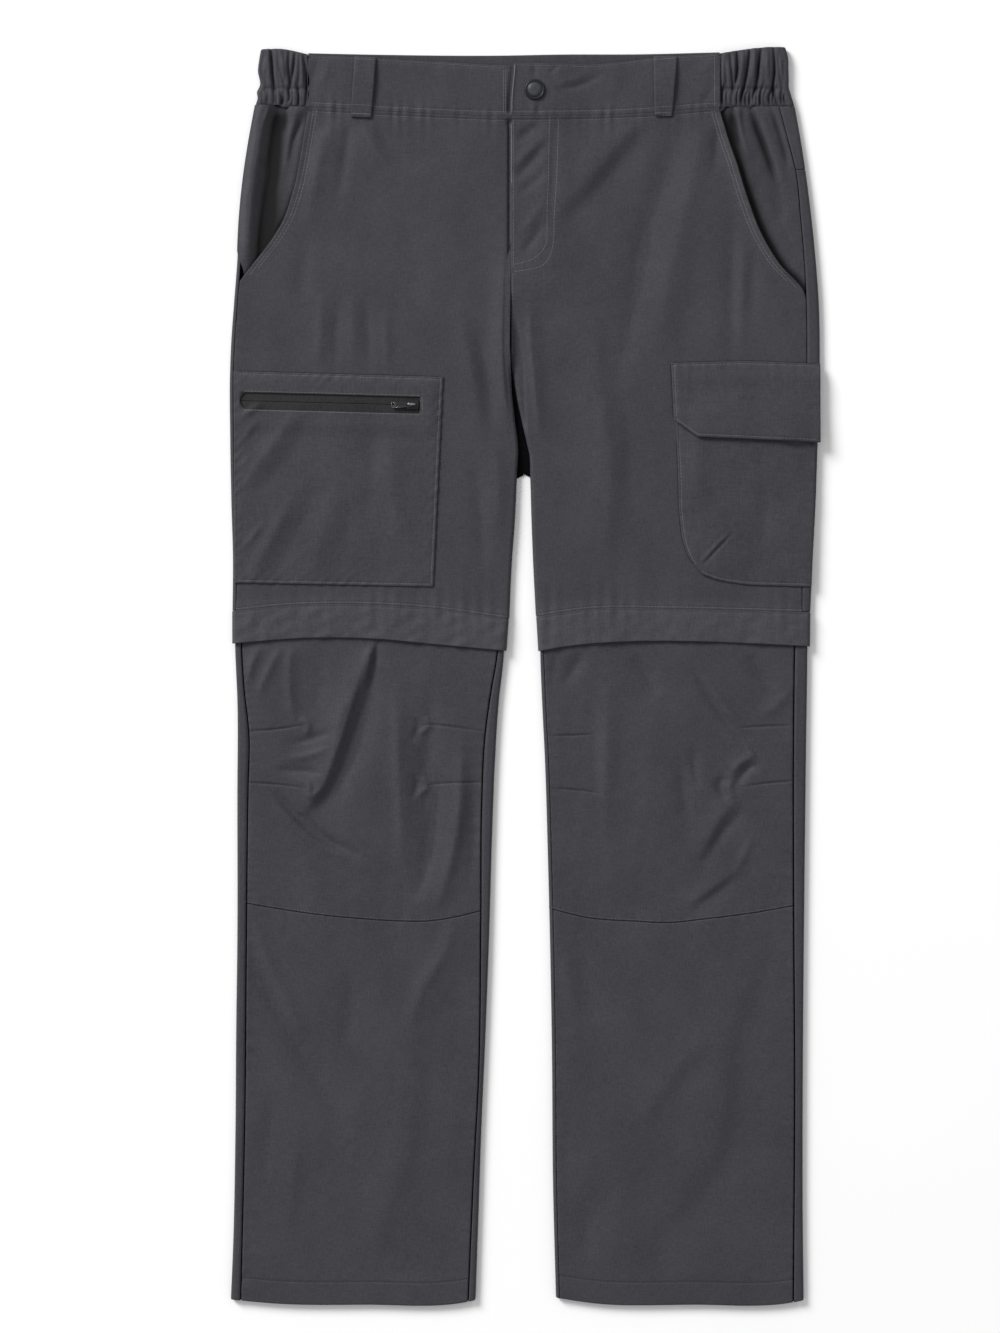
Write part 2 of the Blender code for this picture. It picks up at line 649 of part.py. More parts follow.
def gather_height(valleys, pitch):
    """Waves of an elastic part: deep at the top, pinched flat, then finer on the free ruffle."""
    def read(x, down):
        depth = 1.5 * (1 - ramp(24, 34, down))
        low = 0.0
        for top, pinch in valleys:
            middle = top + (pinch - top) * min(down / 34.0, 1.0)
            low += depth * math.exp(-((x - middle) / 2.2)**2)
        pinched = 0.8 * math.exp(-((down - 34.0) / 3.2)**2)
        ruffle = 0.55 * math.cos(x * 2 * math.pi / pitch) * ramp(35, 39, down) * (1 - ramp(46, 50, down))
        crown = 1.1 * math.exp(-((down - 18.0) / 13.0)**2)
        return crown + ruffle - low - pinched
    return read


def elastic(name, first, edge, near, sign, waves):
    """One elastic side of the waistband: over the front, round the side and under."""
    radius = WAIST_TOP / 2
    outer, inner = [], []
    for share in elastic_shares:
        row = blend(first, band_low, share)
        x_edge = meet(row, edge)[0]
        end = x_edge - sign * radius
        path = [(near + (end - near) * part, WAIST_TOP, 0.0, 1.0) for part in parts_of(18)[:-1]]
        for k in range(ARC + 1):
            angle = math.pi * k / ARC
            nx, nz = sign * math.sin(angle), math.cos(angle)
            path.append((end + radius * nx, radius + radius * nz, nx, nz))
        path += [(end + (near - end) * part, 0.0, 0.0, -1.0) for part in (0.35, 0.7, 1.0)]
        line, below = [], []
        for x, z, nx, nz in path:
            down = row(x)
            up = 0.0
            if nz > 0.5:
                up = waves(x, down) * ramp(0.0, 3.0, abs(x - near)) * ramp(0.0, 5.0, abs(x - end))
            line.append(point(x, down, z + up))
            below.append(point(x - WAIST * nx, down, z + up - WAIST * nz))
        outer.append(line)
        inner.append(below)
    return sheet(name, outer, inner)


waistband_elastic_right = elastic("waistband_elastic_right", top_side_right, waist_edge_right,
                                  ELASTIC_RIGHT - GAP / 2, -1, gather_height(gathers_right, 5.2))
waistband_elastic_left = elastic("waistband_elastic_left", top_side_left, waist_edge_left,
                                 ELASTIC_LEFT + GAP / 2, 1, gather_height(gathers_left, 5.6))


def belt_loop(name, top_left, top_right, low_left, low_right):
    """A loop over the waistband, a little clear of it in the middle."""
    left = straight((top_left[1], top_left[0]), (low_left[1], low_left[0]))
    right = straight((top_right[1], top_right[0]), (low_right[1], low_right[0]))
    first = straight(top_left, top_right)
    last = straight(low_left, low_right)
    rows = [blend(first, last, share) for share in parts_of(6)]
    middle = (top_left[1] + low_left[1]) / 2

    def height(x, down):
        arch = 0.9 * max(0.0, 1 - ((down - middle) / 25.0)**2)
        return WAIST_TOP + GAP + CLOTH + arch

    return flat_piece(name, left, right, rows, parts_of(3), height, CLOTH)


belt_loop_right = belt_loop("belt_loop_right", (-144.3, 8.6), (-126, 9.4), (-147.6, 59.8), (-130, 60.6))
belt_loop_left = belt_loop("belt_loop_left", (108.8, 8.6), (129, 8.6), (109.7, 59), (124.6, 59))


def button():
    """A domed snap with a rolled rim, turned about its own middle."""
    base = WAIST_TOP + WAIST + GAP + GAP
    profile = ((0.0, 0.0), (0.78, 0.0), (0.97, 0.5), (1.0, 1.0), (0.97, 1.5), (0.88, 1.9), (0.62, 2.55),
               (0.3, 2.9), (0.0, 3.0))
    bm = bmesh.new()
    centre = point(*BUTTON_AT, base)
    rings = []
    count = 32
    for share, z in profile:
        if share == 0.0:
            rings.append([bm.verts.new(centre + Vector((0, 0, z * MM)))])
            continue
        ring = []
        for k in range(count):
            angle = 2 * math.pi * k / count
            reach = share * BUTTON_RADIUS * MM
            ring.append(bm.verts.new(centre + Vector((reach * math.cos(angle), reach * math.sin(angle), z * MM))))
        rings.append(ring)
    for low, high in zip(rings[:-1], rings[1:]):
        for k in range(count):
            m = (k + 1) % count
            face = (low[k % len(low)], low[m % len(low)], high[m % len(high)], high[k % len(high)])
            bm.faces.new(list(dict.fromkeys(face)))
    return node("waist_button", bm)


waist_button = button()

# Patch pocket with a zip in a window, on the right thigh
WINDOW_ROWS = (0.100, 0.118, 0.1395, 0.161, 0.179)
patch_rows_at = (0.0, 0.04) + WINDOW_ROWS + (0.235, 0.3, 0.42, 0.56, 0.7, 0.85, 1.0)
patch_top = straight((-248, 274.9), (-69, 279.9))
patch_low = straight((-248, 454.4), (-77, 457.8))
patch_left = straight((274, -246.8), (455, -245.9))
patch_right = straight((279, -69.0), (458, -77.5))
WINDOW_LEFT, WINDOW_RIGHT = -241.0, -88.4
patch_width = 177.0
patch_columns = [0.0, (WINDOW_LEFT + 246.6) / patch_width]
patch_columns += [patch_columns[1] + (WINDOW_RIGHT - WINDOW_LEFT) / patch_width * k / 9 for k in range(1, 10)]
patch_columns += [0.94, 1.0]


def patch_height(x, down):
    """The pocket lies on the thigh and rides up over its zip tapes."""
    over = 1 - ramp(16, 30, abs(down - 302.5 - (x + 165) * 0.026))
    over *= 1 - ramp(-81, -70, x)
    return LOFT + fold_height(x, down) + GAP + CLOTH + WINDOW_LIFT * over


def window_shift(i, j):
    """The window's left end is round."""
    if j == 1 and 2 <= i <= 6:
        return (4.2, 1.0, 0.0, 1.0, 4.2)[i - 2]
    return 0.0


patch_rows = [blend(patch_top, patch_low, share) for share in patch_rows_at]
window_cells = {(i, j) for i in range(2, 6) for j in range(1, 10)}
zip_patch_pocket = flat_piece("zip_patch_pocket", patch_left, patch_right, patch_rows, patch_columns,
                              patch_height, CLOTH, shift=window_shift, holes=window_cells)
zip_line = straight((-244, 300.1), (-84, 304.1))


def tape_height(x, down):
    return LOFT + fold_height(x, down) + GAP + TAPE


tape_rows_upper = [blend(moved(zip_line, -12.4), moved(zip_line, -GAP / 2), share) for share in (0.0, 0.5, 1.0)]
tape_rows_lower = [blend(moved(zip_line, GAP / 2), moved(zip_line, 12.4), share) for share in (0.0, 0.5, 1.0)]
pocket_zip_tape_upper = flat_piece("pocket_zip_tape_upper", level(-244.0), level(-84.0), tape_rows_upper,
                                   parts_of(8), tape_height, TAPE)
pocket_zip_tape_lower = flat_piece("pocket_zip_tape_lower", level(-244.0), level(-84.0), tape_rows_lower,
                                   parts_of(8), tape_height, TAPE)

SLIDER_BASE = LOFT + GAP + TAPE + GAP
SLIDER_BODY = 1.6
AXIS_Z = SLIDER_BASE + SLIDER_BODY + 1.0


def slider():
    """Zip slider: a body with rounded corners and a bridge along the zip that holds the pull."""
    xs = (-6.0, -4.6, -3.5, -2.4, 2.4, 3.5, 4.8, 6.2)
    ys = (-4.2, -2.6, -0.8, 0.8, 2.6, 4.2)
    bm = bmesh.new()
    centre = point(*SLIDER_AT, 0.0)

    def corner(x, y):
        """Draw the body's plan in at both ends."""
        if abs(y) > 4:
            return x * (0.72 if x < 0 else 0.86), y
        return x, y

    def place(x, y, z):
        return centre + Vector((x, y, z)) * MM

    grids = []
    for z, inset in ((SLIDER_BASE, 0.94), (SLIDER_BASE + 0.5, 1.0), (SLIDER_BASE + SLIDER_BODY, 0.95)):
        grid = []
        for x in xs:
            column = []
            for y in ys:
                px, py = corner(x, y)
                rim = abs(y) > 4 or x in (xs[0], xs[-1])
                scale = inset if rim else 1.0
                column.append(place(px * scale, py * scale, z))
            grid.append(column)
        grids.append(grid)
    low = [[bm.verts.new(p) for p in column] for column in grids[0]]
    mid = {}
    for i in range(len(xs)):
        for j in range(len(ys)):
            if i in (0, len(xs) - 1) or j in (0, len(ys) - 1):
                mid[i, j] = bm.verts.new(grids[1][i][j])
    top = [[bm.verts.new(p) for p in column] for column in grids[2]]
    posts = ((2, 2), (4, 2))
    for i in range(len(xs) - 1):
        for j in range(len(ys) - 1):
            bm.faces.new((low[i][j], low[i][j + 1], low[i + 1][j + 1], low[i + 1][j]))
            if (i, j) not in posts:
                bm.faces.new((top[i][j], top[i + 1][j], top[i + 1][j + 1], top[i][j + 1]))
    rim = [(i, 0) for i in range(len(xs))] + [(len(xs) - 1, j) for j in range(1, len(ys))]
    rim += [(i, len(ys) - 1) for i in range(len(xs) - 2, -1, -1)] + [(0, j) for j in range(len(ys) - 2, 0, -1)]
    for a, b in zip(rim, rim[1:] + rim[:1]):
        bm.faces.new((low[a[0]][a[1]], low[b[0]][b[1]], mid[b], mid[a]))
        bm.faces.new((mid[a], mid[b], top[b[0]][b[1]], top[a[0]][a[1]]))
    deck = SLIDER_BASE + SLIDER_BODY
    arch = ((-3.5, 1.3, -2.4, 1.1), (-3.1, 2.3, -2.0, 1.75), (-1.9, 2.9, -1.2, 1.95), (0.0, 3.05, 0.0, 2.0),
            (1.9, 2.9, 1.2, 1.95), (3.1, 2.3, 2.0, 1.75), (3.5, 1.3, 2.4, 1.1))
    loops = [[top[2][2], top[2][3], top[3][3], top[3][2]]]
    for x_out, z_out, x_in, z_in in arch:
        loops.append([bm.verts.new(place(x_out, -0.8, deck + z_out)), bm.verts.new(place(x_out, 0.8, deck + z_out)),
                      bm.verts.new(place(x_in, 0.8, deck + z_in)), bm.verts.new(place(x_in, -0.8, deck + z_in))])
    loops.append([top[5][2], top[5][3], top[4][3], top[4][2]])
    for a, b in zip(loops[:-1], loops[1:]):
        for k in range(4):
            m = (k + 1) % 4
            bm.faces.new((a[k], a[m], b[m], b[k]))
    return node("pocket_zip_slider", bm)


pocket_zip_slider = slider()


def pull():
    """The pull tab: an eye round the slider's bridge, a plain stem and a wider end with a slot."""
    stations = ((0.55, 2.1), (-0.55, 2.5), (-3.9, 2.5), (-5.2, 2.3), (-13.2, 2.4), (-14.2, 2.6),
                (-16.6, 3.0), (-PULL_LENGTH + 0.5, 2.6))
    shares = (-1.0, -0.52, 0.52, 1.0)
    holes = {(1, 1), (5, 1)}
    thick = 1.0
    centre = point(*SLIDER_AT, AXIS_Z)
    outer, inner = [], []
    tilt = Matrix.Rotation(-PULL_TILT, 3, "Y")
    for x, half in stations:
        edge = []
        under = []
        for share in shares:
            slim = 0.32 if 13 < -x < 15 and abs(share) < 1 else 1.0
            y = half * share * slim
            edge.append(centre + tilt @ Vector((x, y, thick / 2)) * MM)
            under.append(centre + tilt @ Vector((x, y, -thick / 2)) * MM)
        outer.append(edge)
        inner.append(under)
    plate = sheet("pocket_zip_pull", outer, inner, holes=holes)
    plate.data.transform(Matrix.Translation(-centre))
    plate.location = centre
    return plate


pocket_zip_pull = pull()

# Cargo pocket with a flap, on the left thigh
cargo_left = curve((284, 127.6), (320, 127.9), (359, 129.6), (401, 131.3), (422, 134.7), (436, 141),
                   (446, 149))
cargo_right = straight((284, 247.4), (335, 246.5), (459, 242.6))
cargo_low = curve((141, 441), (149, 446.5), (158, 450.4), (182, 455.3), (214, 457.0), (244, 457.8))
flap_top = curve((123, 268.0), (190, 266.6), (250, 268.9))
flap_low = straight((126, 316.4), (145.7, 330.8), (250, 335.6))


def cargo_bulge(x, down):
    """The pocket stands a little off the thigh in its middle."""
    rise = ramp(0, 30, down - 284) * ramp(0, 26, 458 - down) * ramp(0, 24, x - 128) * ramp(0, 24, 246 - x)
    return BULGE * rise


def cargo_height(x, down):
    return LOFT + fold_height(x, down) + GAP + CLOTH + cargo_bulge(x, down)


def flap_height(x, down):
    """The flap starts on the thigh and lies over the pocket's top."""
    return cargo_height(x, down) + (CLOTH + GAP) * ramp(268, 282, down)


cargo_rows = [blend(level(284.5), cargo_low, share) for share in parts_of(9)]
cargo_pocket_body = flat_piece("cargo_pocket_body", cargo_left, cargo_right, cargo_rows, parts_of(9),
                               cargo_height, CLOTH)
flap_rows = [blend(flap_top, flap_low, share) for share in (0.0, 0.12, 0.24, 0.5, 0.75, 1.0)]
flap_columns = (0.0, 0.157, 0.33, 0.5, 0.67, 0.84, 1.0)
cargo_pocket_flap = flat_piece("cargo_pocket_flap", straight((268, 123.7), (316, 126.0), (331, 126.0)),
                               level(250.0), flap_rows, flap_columns, flap_height, CLOTH)

for piece in list(bpy.context.collection.objects):
    paint(piece, CLOTH_GREY, 0.86)
for piece in (knee_flap_right, knee_flap_left):
    paint(piece, BAND_GREY, 0.82)
for piece in (leg_zip_right, leg_zip_left, pocket_zip_tape_upper, pocket_zip_tape_lower):
    paint(piece, TAPE_GREY, 0.9)
paint(waist_button, (0.05, 0.054, 0.06), 0.42, 0.6)
paint(pocket_zip_slider, (0.19, 0.195, 0.2), 0.4, 0.8)
paint(pocket_zip_pull, (0.045, 0.047, 0.05), 0.5, 0.3)
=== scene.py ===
# %% [markdown]
# # Zip-off trousers, laid out flat
# A pair of outdoor trousers lies on a table with its front up. The solids already hold every panel in
# its place. Here each panel is laid again as a fine sheet of cloth, with its folds, gathers, puckered
# seams, rows of sewing and zip teeth, and then gets a woven finish.

# %% Load the solids
import math

import bmesh
import bpy
import numpy as np
from mathutils import Matrix, Vector


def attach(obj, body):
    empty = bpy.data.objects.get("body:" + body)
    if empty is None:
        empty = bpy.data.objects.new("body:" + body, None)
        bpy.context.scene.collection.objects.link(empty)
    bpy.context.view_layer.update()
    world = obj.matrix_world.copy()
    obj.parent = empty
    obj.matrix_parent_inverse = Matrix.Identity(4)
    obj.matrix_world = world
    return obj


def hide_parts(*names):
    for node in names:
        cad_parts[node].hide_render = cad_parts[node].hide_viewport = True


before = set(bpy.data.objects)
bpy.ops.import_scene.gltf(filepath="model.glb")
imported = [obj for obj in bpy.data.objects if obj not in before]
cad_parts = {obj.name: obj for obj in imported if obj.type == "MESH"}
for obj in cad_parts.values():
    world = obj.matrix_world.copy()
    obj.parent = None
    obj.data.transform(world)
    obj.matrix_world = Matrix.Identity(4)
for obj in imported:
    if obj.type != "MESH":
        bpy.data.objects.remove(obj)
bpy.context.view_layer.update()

# %% [markdown]
# Everything below is measured in millimetres on the garment: x runs across it and down runs from the top
# of the waist to the hems. One function turns those into places in metres. The photograph shows 0.847 mm
# in each of its pixels, so what is read off it can be given as a pixel and turned the same way.

# %% Measures of the garment
MIDDLE_DOWN = 533.63
MIDDLE_X = -0.06
PIXEL = 0.847
CLOTH, GAP, LOFT, BAND_LOFT, LEG_TOP, TUCK = 1.2, 0.3, 6.0, 7.2, 5.7, 1.5
WAIST, WAIST_TOP, TAPE = 2.4, 6.6, 1.0
FLY, CROTCH = -11.9, 364.0


def place(x, down, z):
    """Places in metres from millimetres on the garment."""
    x, down, z = np.broadcast_arrays(x, down, z)
    return np.stack(((x - MIDDLE_X) * 0.001, (MIDDLE_DOWN - down) * 0.001, z * 0.001), axis=-1)


def seen(*pixels):
    """Points (x, down) from pixels of the photograph."""
    return [((px - 525.0) * PIXEL, (py - 46.5) * PIXEL) for px, py in pixels]


def ramp(low, high, t):
    """0 at low and before it, 1 at high and beyond it, smooth between them."""
    s = np.clip((t - low) / (high - low), 0.0, 1.0)
    return s * s * (3 - 2 * s)


# %% [markdown]
# A seam or an edge is a smooth line through a few measured pairs. One kind gives x for a value of down,
# the other gives down for a value of x. The same helper serves both, for one number or a whole array.

# %% Lines from measured pairs
def curve(*pairs):
    """A smooth line through (at, value) pairs, straight beyond its ends."""
    at, value = np.array(pairs, float).T
    slope = np.gradient(value, at)

    def read(t):
        t = np.asarray(t, float)
        k = np.clip(np.searchsorted(at, t) - 1, 0, len(at) - 2)
        step = at[k + 1] - at[k]
        s = (t - at[k]) / step
        c = np.clip(s, 0.0, 1.0)
        inside = ((2 * c**3 - 3 * c**2 + 1) * value[k] + (c**3 - 2 * c**2 + c) * step * slope[k]
                  + (3 * c**2 - 2 * c**3) * value[k + 1] + (c**3 - c**2) * step * slope[k + 1])
        before = np.clip(t - at[0], -12.0, 0.0) * slope[0]
        after = np.clip(t - at[-1], 0.0, 12.0) * slope[-1]
        return inside + before + after

    return read


def straight(*pairs):
    """Straight pieces through (at, value) pairs."""
    at, value = np.array(pairs, float).T
    return lambda t: np.interp(t, at, value)


def moved(line, offset):
    return lambda t: line(t) + offset


def level(value):
    return lambda t: np.asarray(t) * 0.0 + value


# %% [markdown]
# The outline of the shorts part and its seams come first, because every panel is cut between them. Each is
# a smooth curve through a few points in millimetres, so a panel and its neighbour share one line, and each
# keeps half of a narrow gap from it.

# %% Edges and seams of the shorts part
EDGE_RIGHT = curve((50, -228.5), (79, -233.8), (113, -238.9), (147, -242.2), (181, -243.9), (215, -246.5),
                   (249, -249), (282, -250.2), (325, -250), (384, -249), (435, -247.6), (480, -248))
EDGE_LEFT = curve((50, 228.6), (79, 233.8), (113, 238.9), (147, 243.1), (181, 246.5), (215, 249),
                  (249, 249.9), (299, 249.4), (333, 248.2), (384, 246.5), (435, 243.9), (480, 241.8))
SIDE_SEAM_LEFT = curve((50, 215), (79, 222.8), (104, 229.2), (147, 233.8), (189, 237.2), (215, 238.4),
                       (265, 238.9), (342, 237.2), (435, 235.5), (480, 234.6))
MOUTH_RIGHT = curve((50, -183), (79, -188), (100, -191.4), (126, -197.4), (149, -205.8), (168, -217.7),
                    (186, -232), (198, -241))
MOUTH_LEFT = curve((50, 164), (75, 171.1), (100, 179.6), (130, 188.9), (160, 200.7), (185, 216),
                   (208, 236.5), (216, 238.6))
INNER_RIGHT = curve((255, -12.6), (269, -11.9), (293, -11), (316, -8.5), (340, -5.7), (364, -6.8),
                    (401, -8.5), (435, -11), (486, -13.4))
INNER_LEFT = curve((255, -12.2), (265, -12), (292, -8.1), (319, -2.5), (336, 1.5), (346, 3.6), (364, 4.4),
                   (401, 5.5), (435, 6.8), (486, 9.4))
CREST_LEFT = curve((222, -8.5), (240, -5.2), (265, -1.4), (296, 0.2), (326, 1.7), (346, 3.8), (384, 5.0))
CENTRE_BACK = -1.3
WAIST_SEAM = curve((-230, 49.5), (-184, 51.2), (-105, 55.5), (-20, 58.9), (60, 58), (105, 56), (165, 51.5),
                   (229, 50.5))
YOKE_SEAM = curve((-240, 103.8), (0, 122), (240, 103.8))

# %% [markdown]
# The knee bands and the lower legs have curves of their own. They sit a little inside the shorts part,
# since the lower leg is tucked into the band.

# %% Edges and seams of the knees and lower legs
BAND_TOP_RIGHT = curve((-248, 478.1), (-203, 473.5), (-130, 472.6), (-74, 476.3), (-16, 484.5))
BAND_TOP_LEFT = curve((9, 482.9), (51, 476.8), (124, 476.2), (198, 478), (241, 479.2))
BAND_END_RIGHT = curve((-248, 505.7), (-185, 501), (-130, 501.6), (-74, 506.6), (-15, 512))
BAND_END_LEFT = curve((11, 512.3), (32, 508.6), (87, 504), (124, 503.6), (198, 505.9), (241, 508.1))
LOWER_OUT_RIGHT = curve((480, -246.2), (513, -245.6), (553, -243.9), (638, -243.9), (757, -243.9),
                        (825, -244.8), (926, -245.6), (1011, -247.3), (1062, -249.4))
LOWER_IN_RIGHT = curve((480, -17.4), (516, -18), (553, -22), (613, -25.8), (672, -28), (757, -30.5),
                       (825, -33), (926, -37.3), (1002, -39.8), (1062, -41.9))
LOWER_IN_LEFT = curve((480, 12.9), (516, 13), (553, 14.4), (604, 16.9), (689, 19.5), (757, 21.2),
                      (858, 22.9), (960, 23.7), (1062, 26.3))
LOWER_OUT_LEFT = curve((480, 239.4), (513, 239.4), (587, 238.4), (689, 237.2), (774, 236.3),
                       (892, 235.5), (994, 235.5), (1062, 236.3))
SEAM_OUT_RIGHT = curve((480, -240.4), (513, -240), (542, -238.2), (586, -233.8), (625, -234.6),
                       (774, -236.3), (892, -237.2), (1062, -240.9))
SEAM_IN_RIGHT = curve((480, -22.6), (514, -23.4), (547, -28.8), (586, -33.9), (638, -36.4), (741, -37.3),
                      (877, -39.3), (951, -43.2), (1062, -48))
SEAM_OUT_LEFT = curve((480, 229), (542, 228), (757, 227.9), (858, 228.6), (1062, 227.5))
KNEE_RIGHT = curve((-244, 724.5), (-180, 734.8), (-141, 738.7), (-102, 741), (-83, 741), (-63, 738.2),
                   (-34, 731.6))
KNEE_LEFT = curve((20, 730), (54, 738.2), (93, 741.1), (125, 742.1), (152, 739.2), (191, 734.3), (236, 726.5))
HEM_RIGHT = curve((-249, 1061.6), (-209, 1065.1), (-136, 1065.9), (-50, 1063.7), (-42, 1062))
HEM_LEFT = curve((26, 1060), (57, 1064.6), (142, 1065.9), (226, 1064.1), (237, 1062))

# %% [markdown]
# A fold of cloth is a long soft swelling or a crease with one steep and one gentle side. Each is given by
# the path of its crest, its height, and how far it reaches on its two sides. All folds are added up, so a
# panel and the pockets on it share one shape and never cross. A few layers of long random waves give the
# cloth the slight unevenness that nothing measured explains.

# %% Folds along paths
def smooth_path(points, steps=6):
    """A rounder path through a few points."""
    p = np.array(points, float)
    if len(p) < 3:
        return p
    p = np.vstack((2 * p[0] - p[1], p, 2 * p[-1] - p[-2]))
    out = []
    for a, b, c, d in zip(p[:-3], p[1:-2], p[2:-1], p[3:]):
        for t in np.arange(steps) / steps:
            out.append(0.5 * (2 * b + (c - a) * t + (2 * a - 5 * b + 4 * c - d) * t * t
                              + (3 * b - a - 3 * c + d) * t**3))
    return np.vstack(out + [p[-2]])


def near_path(x, down, path):
    """Distance from a path, positive on its left when it runs down, and the share of the way along it."""
    best = np.full(x.shape, 1e9)
    signed = np.zeros(x.shape)
    along = np.zeros(x.shape)
    lengths = np.hypot(*np.diff(path, axis=0).T)
    walked = 0.0
    for a, b, length in zip(path[:-1], path[1:], lengths):
        d = (b - a) / length
        t = np.clip((x - a[0]) * d[0] + (down - a[1]) * d[1], 0.0, length)
        ox, oy = x - a[0] - t * d[0], down - a[1] - t * d[1]
        away = np.hypot(ox, oy)
        closer = away < best
        best = np.where(closer, away, best)
        signed = np.where(closer, away * np.sign(d[0] * oy - d[1] * ox), signed)
        along = np.where(closer, (walked + t) / lengths.sum(), along)
        walked += length
    return signed, along


def fold(x, down, height, left, right, *points):
    """Height of one fold: it reaches left and right millimetres to its two sides."""
    path = smooth_path(points)
    reach = 3.2 * max(left, right)
    low, high = path.min(0) - reach, path.max(0) + reach
    total = np.zeros(x.shape)
    near = (x > low[0]) & (x < high[0]) & (down > low[1]) & (down < high[1])
    if near.any():
        signed, along = near_path(x[near], down[near], path)
        width = np.where(signed > 0, left, right)
        fade = np.sin(np.pi * np.clip(along, 0.02, 0.98)) ** 0.7
        total[near] = height * fade * np.exp(-np.abs(signed / width) ** 1.7)
    return total


def waves(x, down, length, seed, count=9):
    """An even layer of random waves of about one length, between -1 and 1 or so."""
    rng = np.random.default_rng(seed)
    total = np.zeros(np.broadcast(x, down).shape)
    for turn, size, start in zip(rng.uniform(0, np.pi, count), rng.uniform(0.7, 1.5, count),
                                 rng.uniform(0, 2 * np.pi, count)):
        total += np.sin((x * np.cos(turn) + down * np.sin(turn)) * 2 * np.pi / (length * size) + start)
    return total / math.sqrt(count)


# %% [markdown]
# The strong folds of this garment hang from its seams and cross its knees. A cloth simulation would give
# folds too, but not these ones, so each is a path over the cloth with a height and a reach to either side:
# a short reach makes a steep side, a long one a soft side.

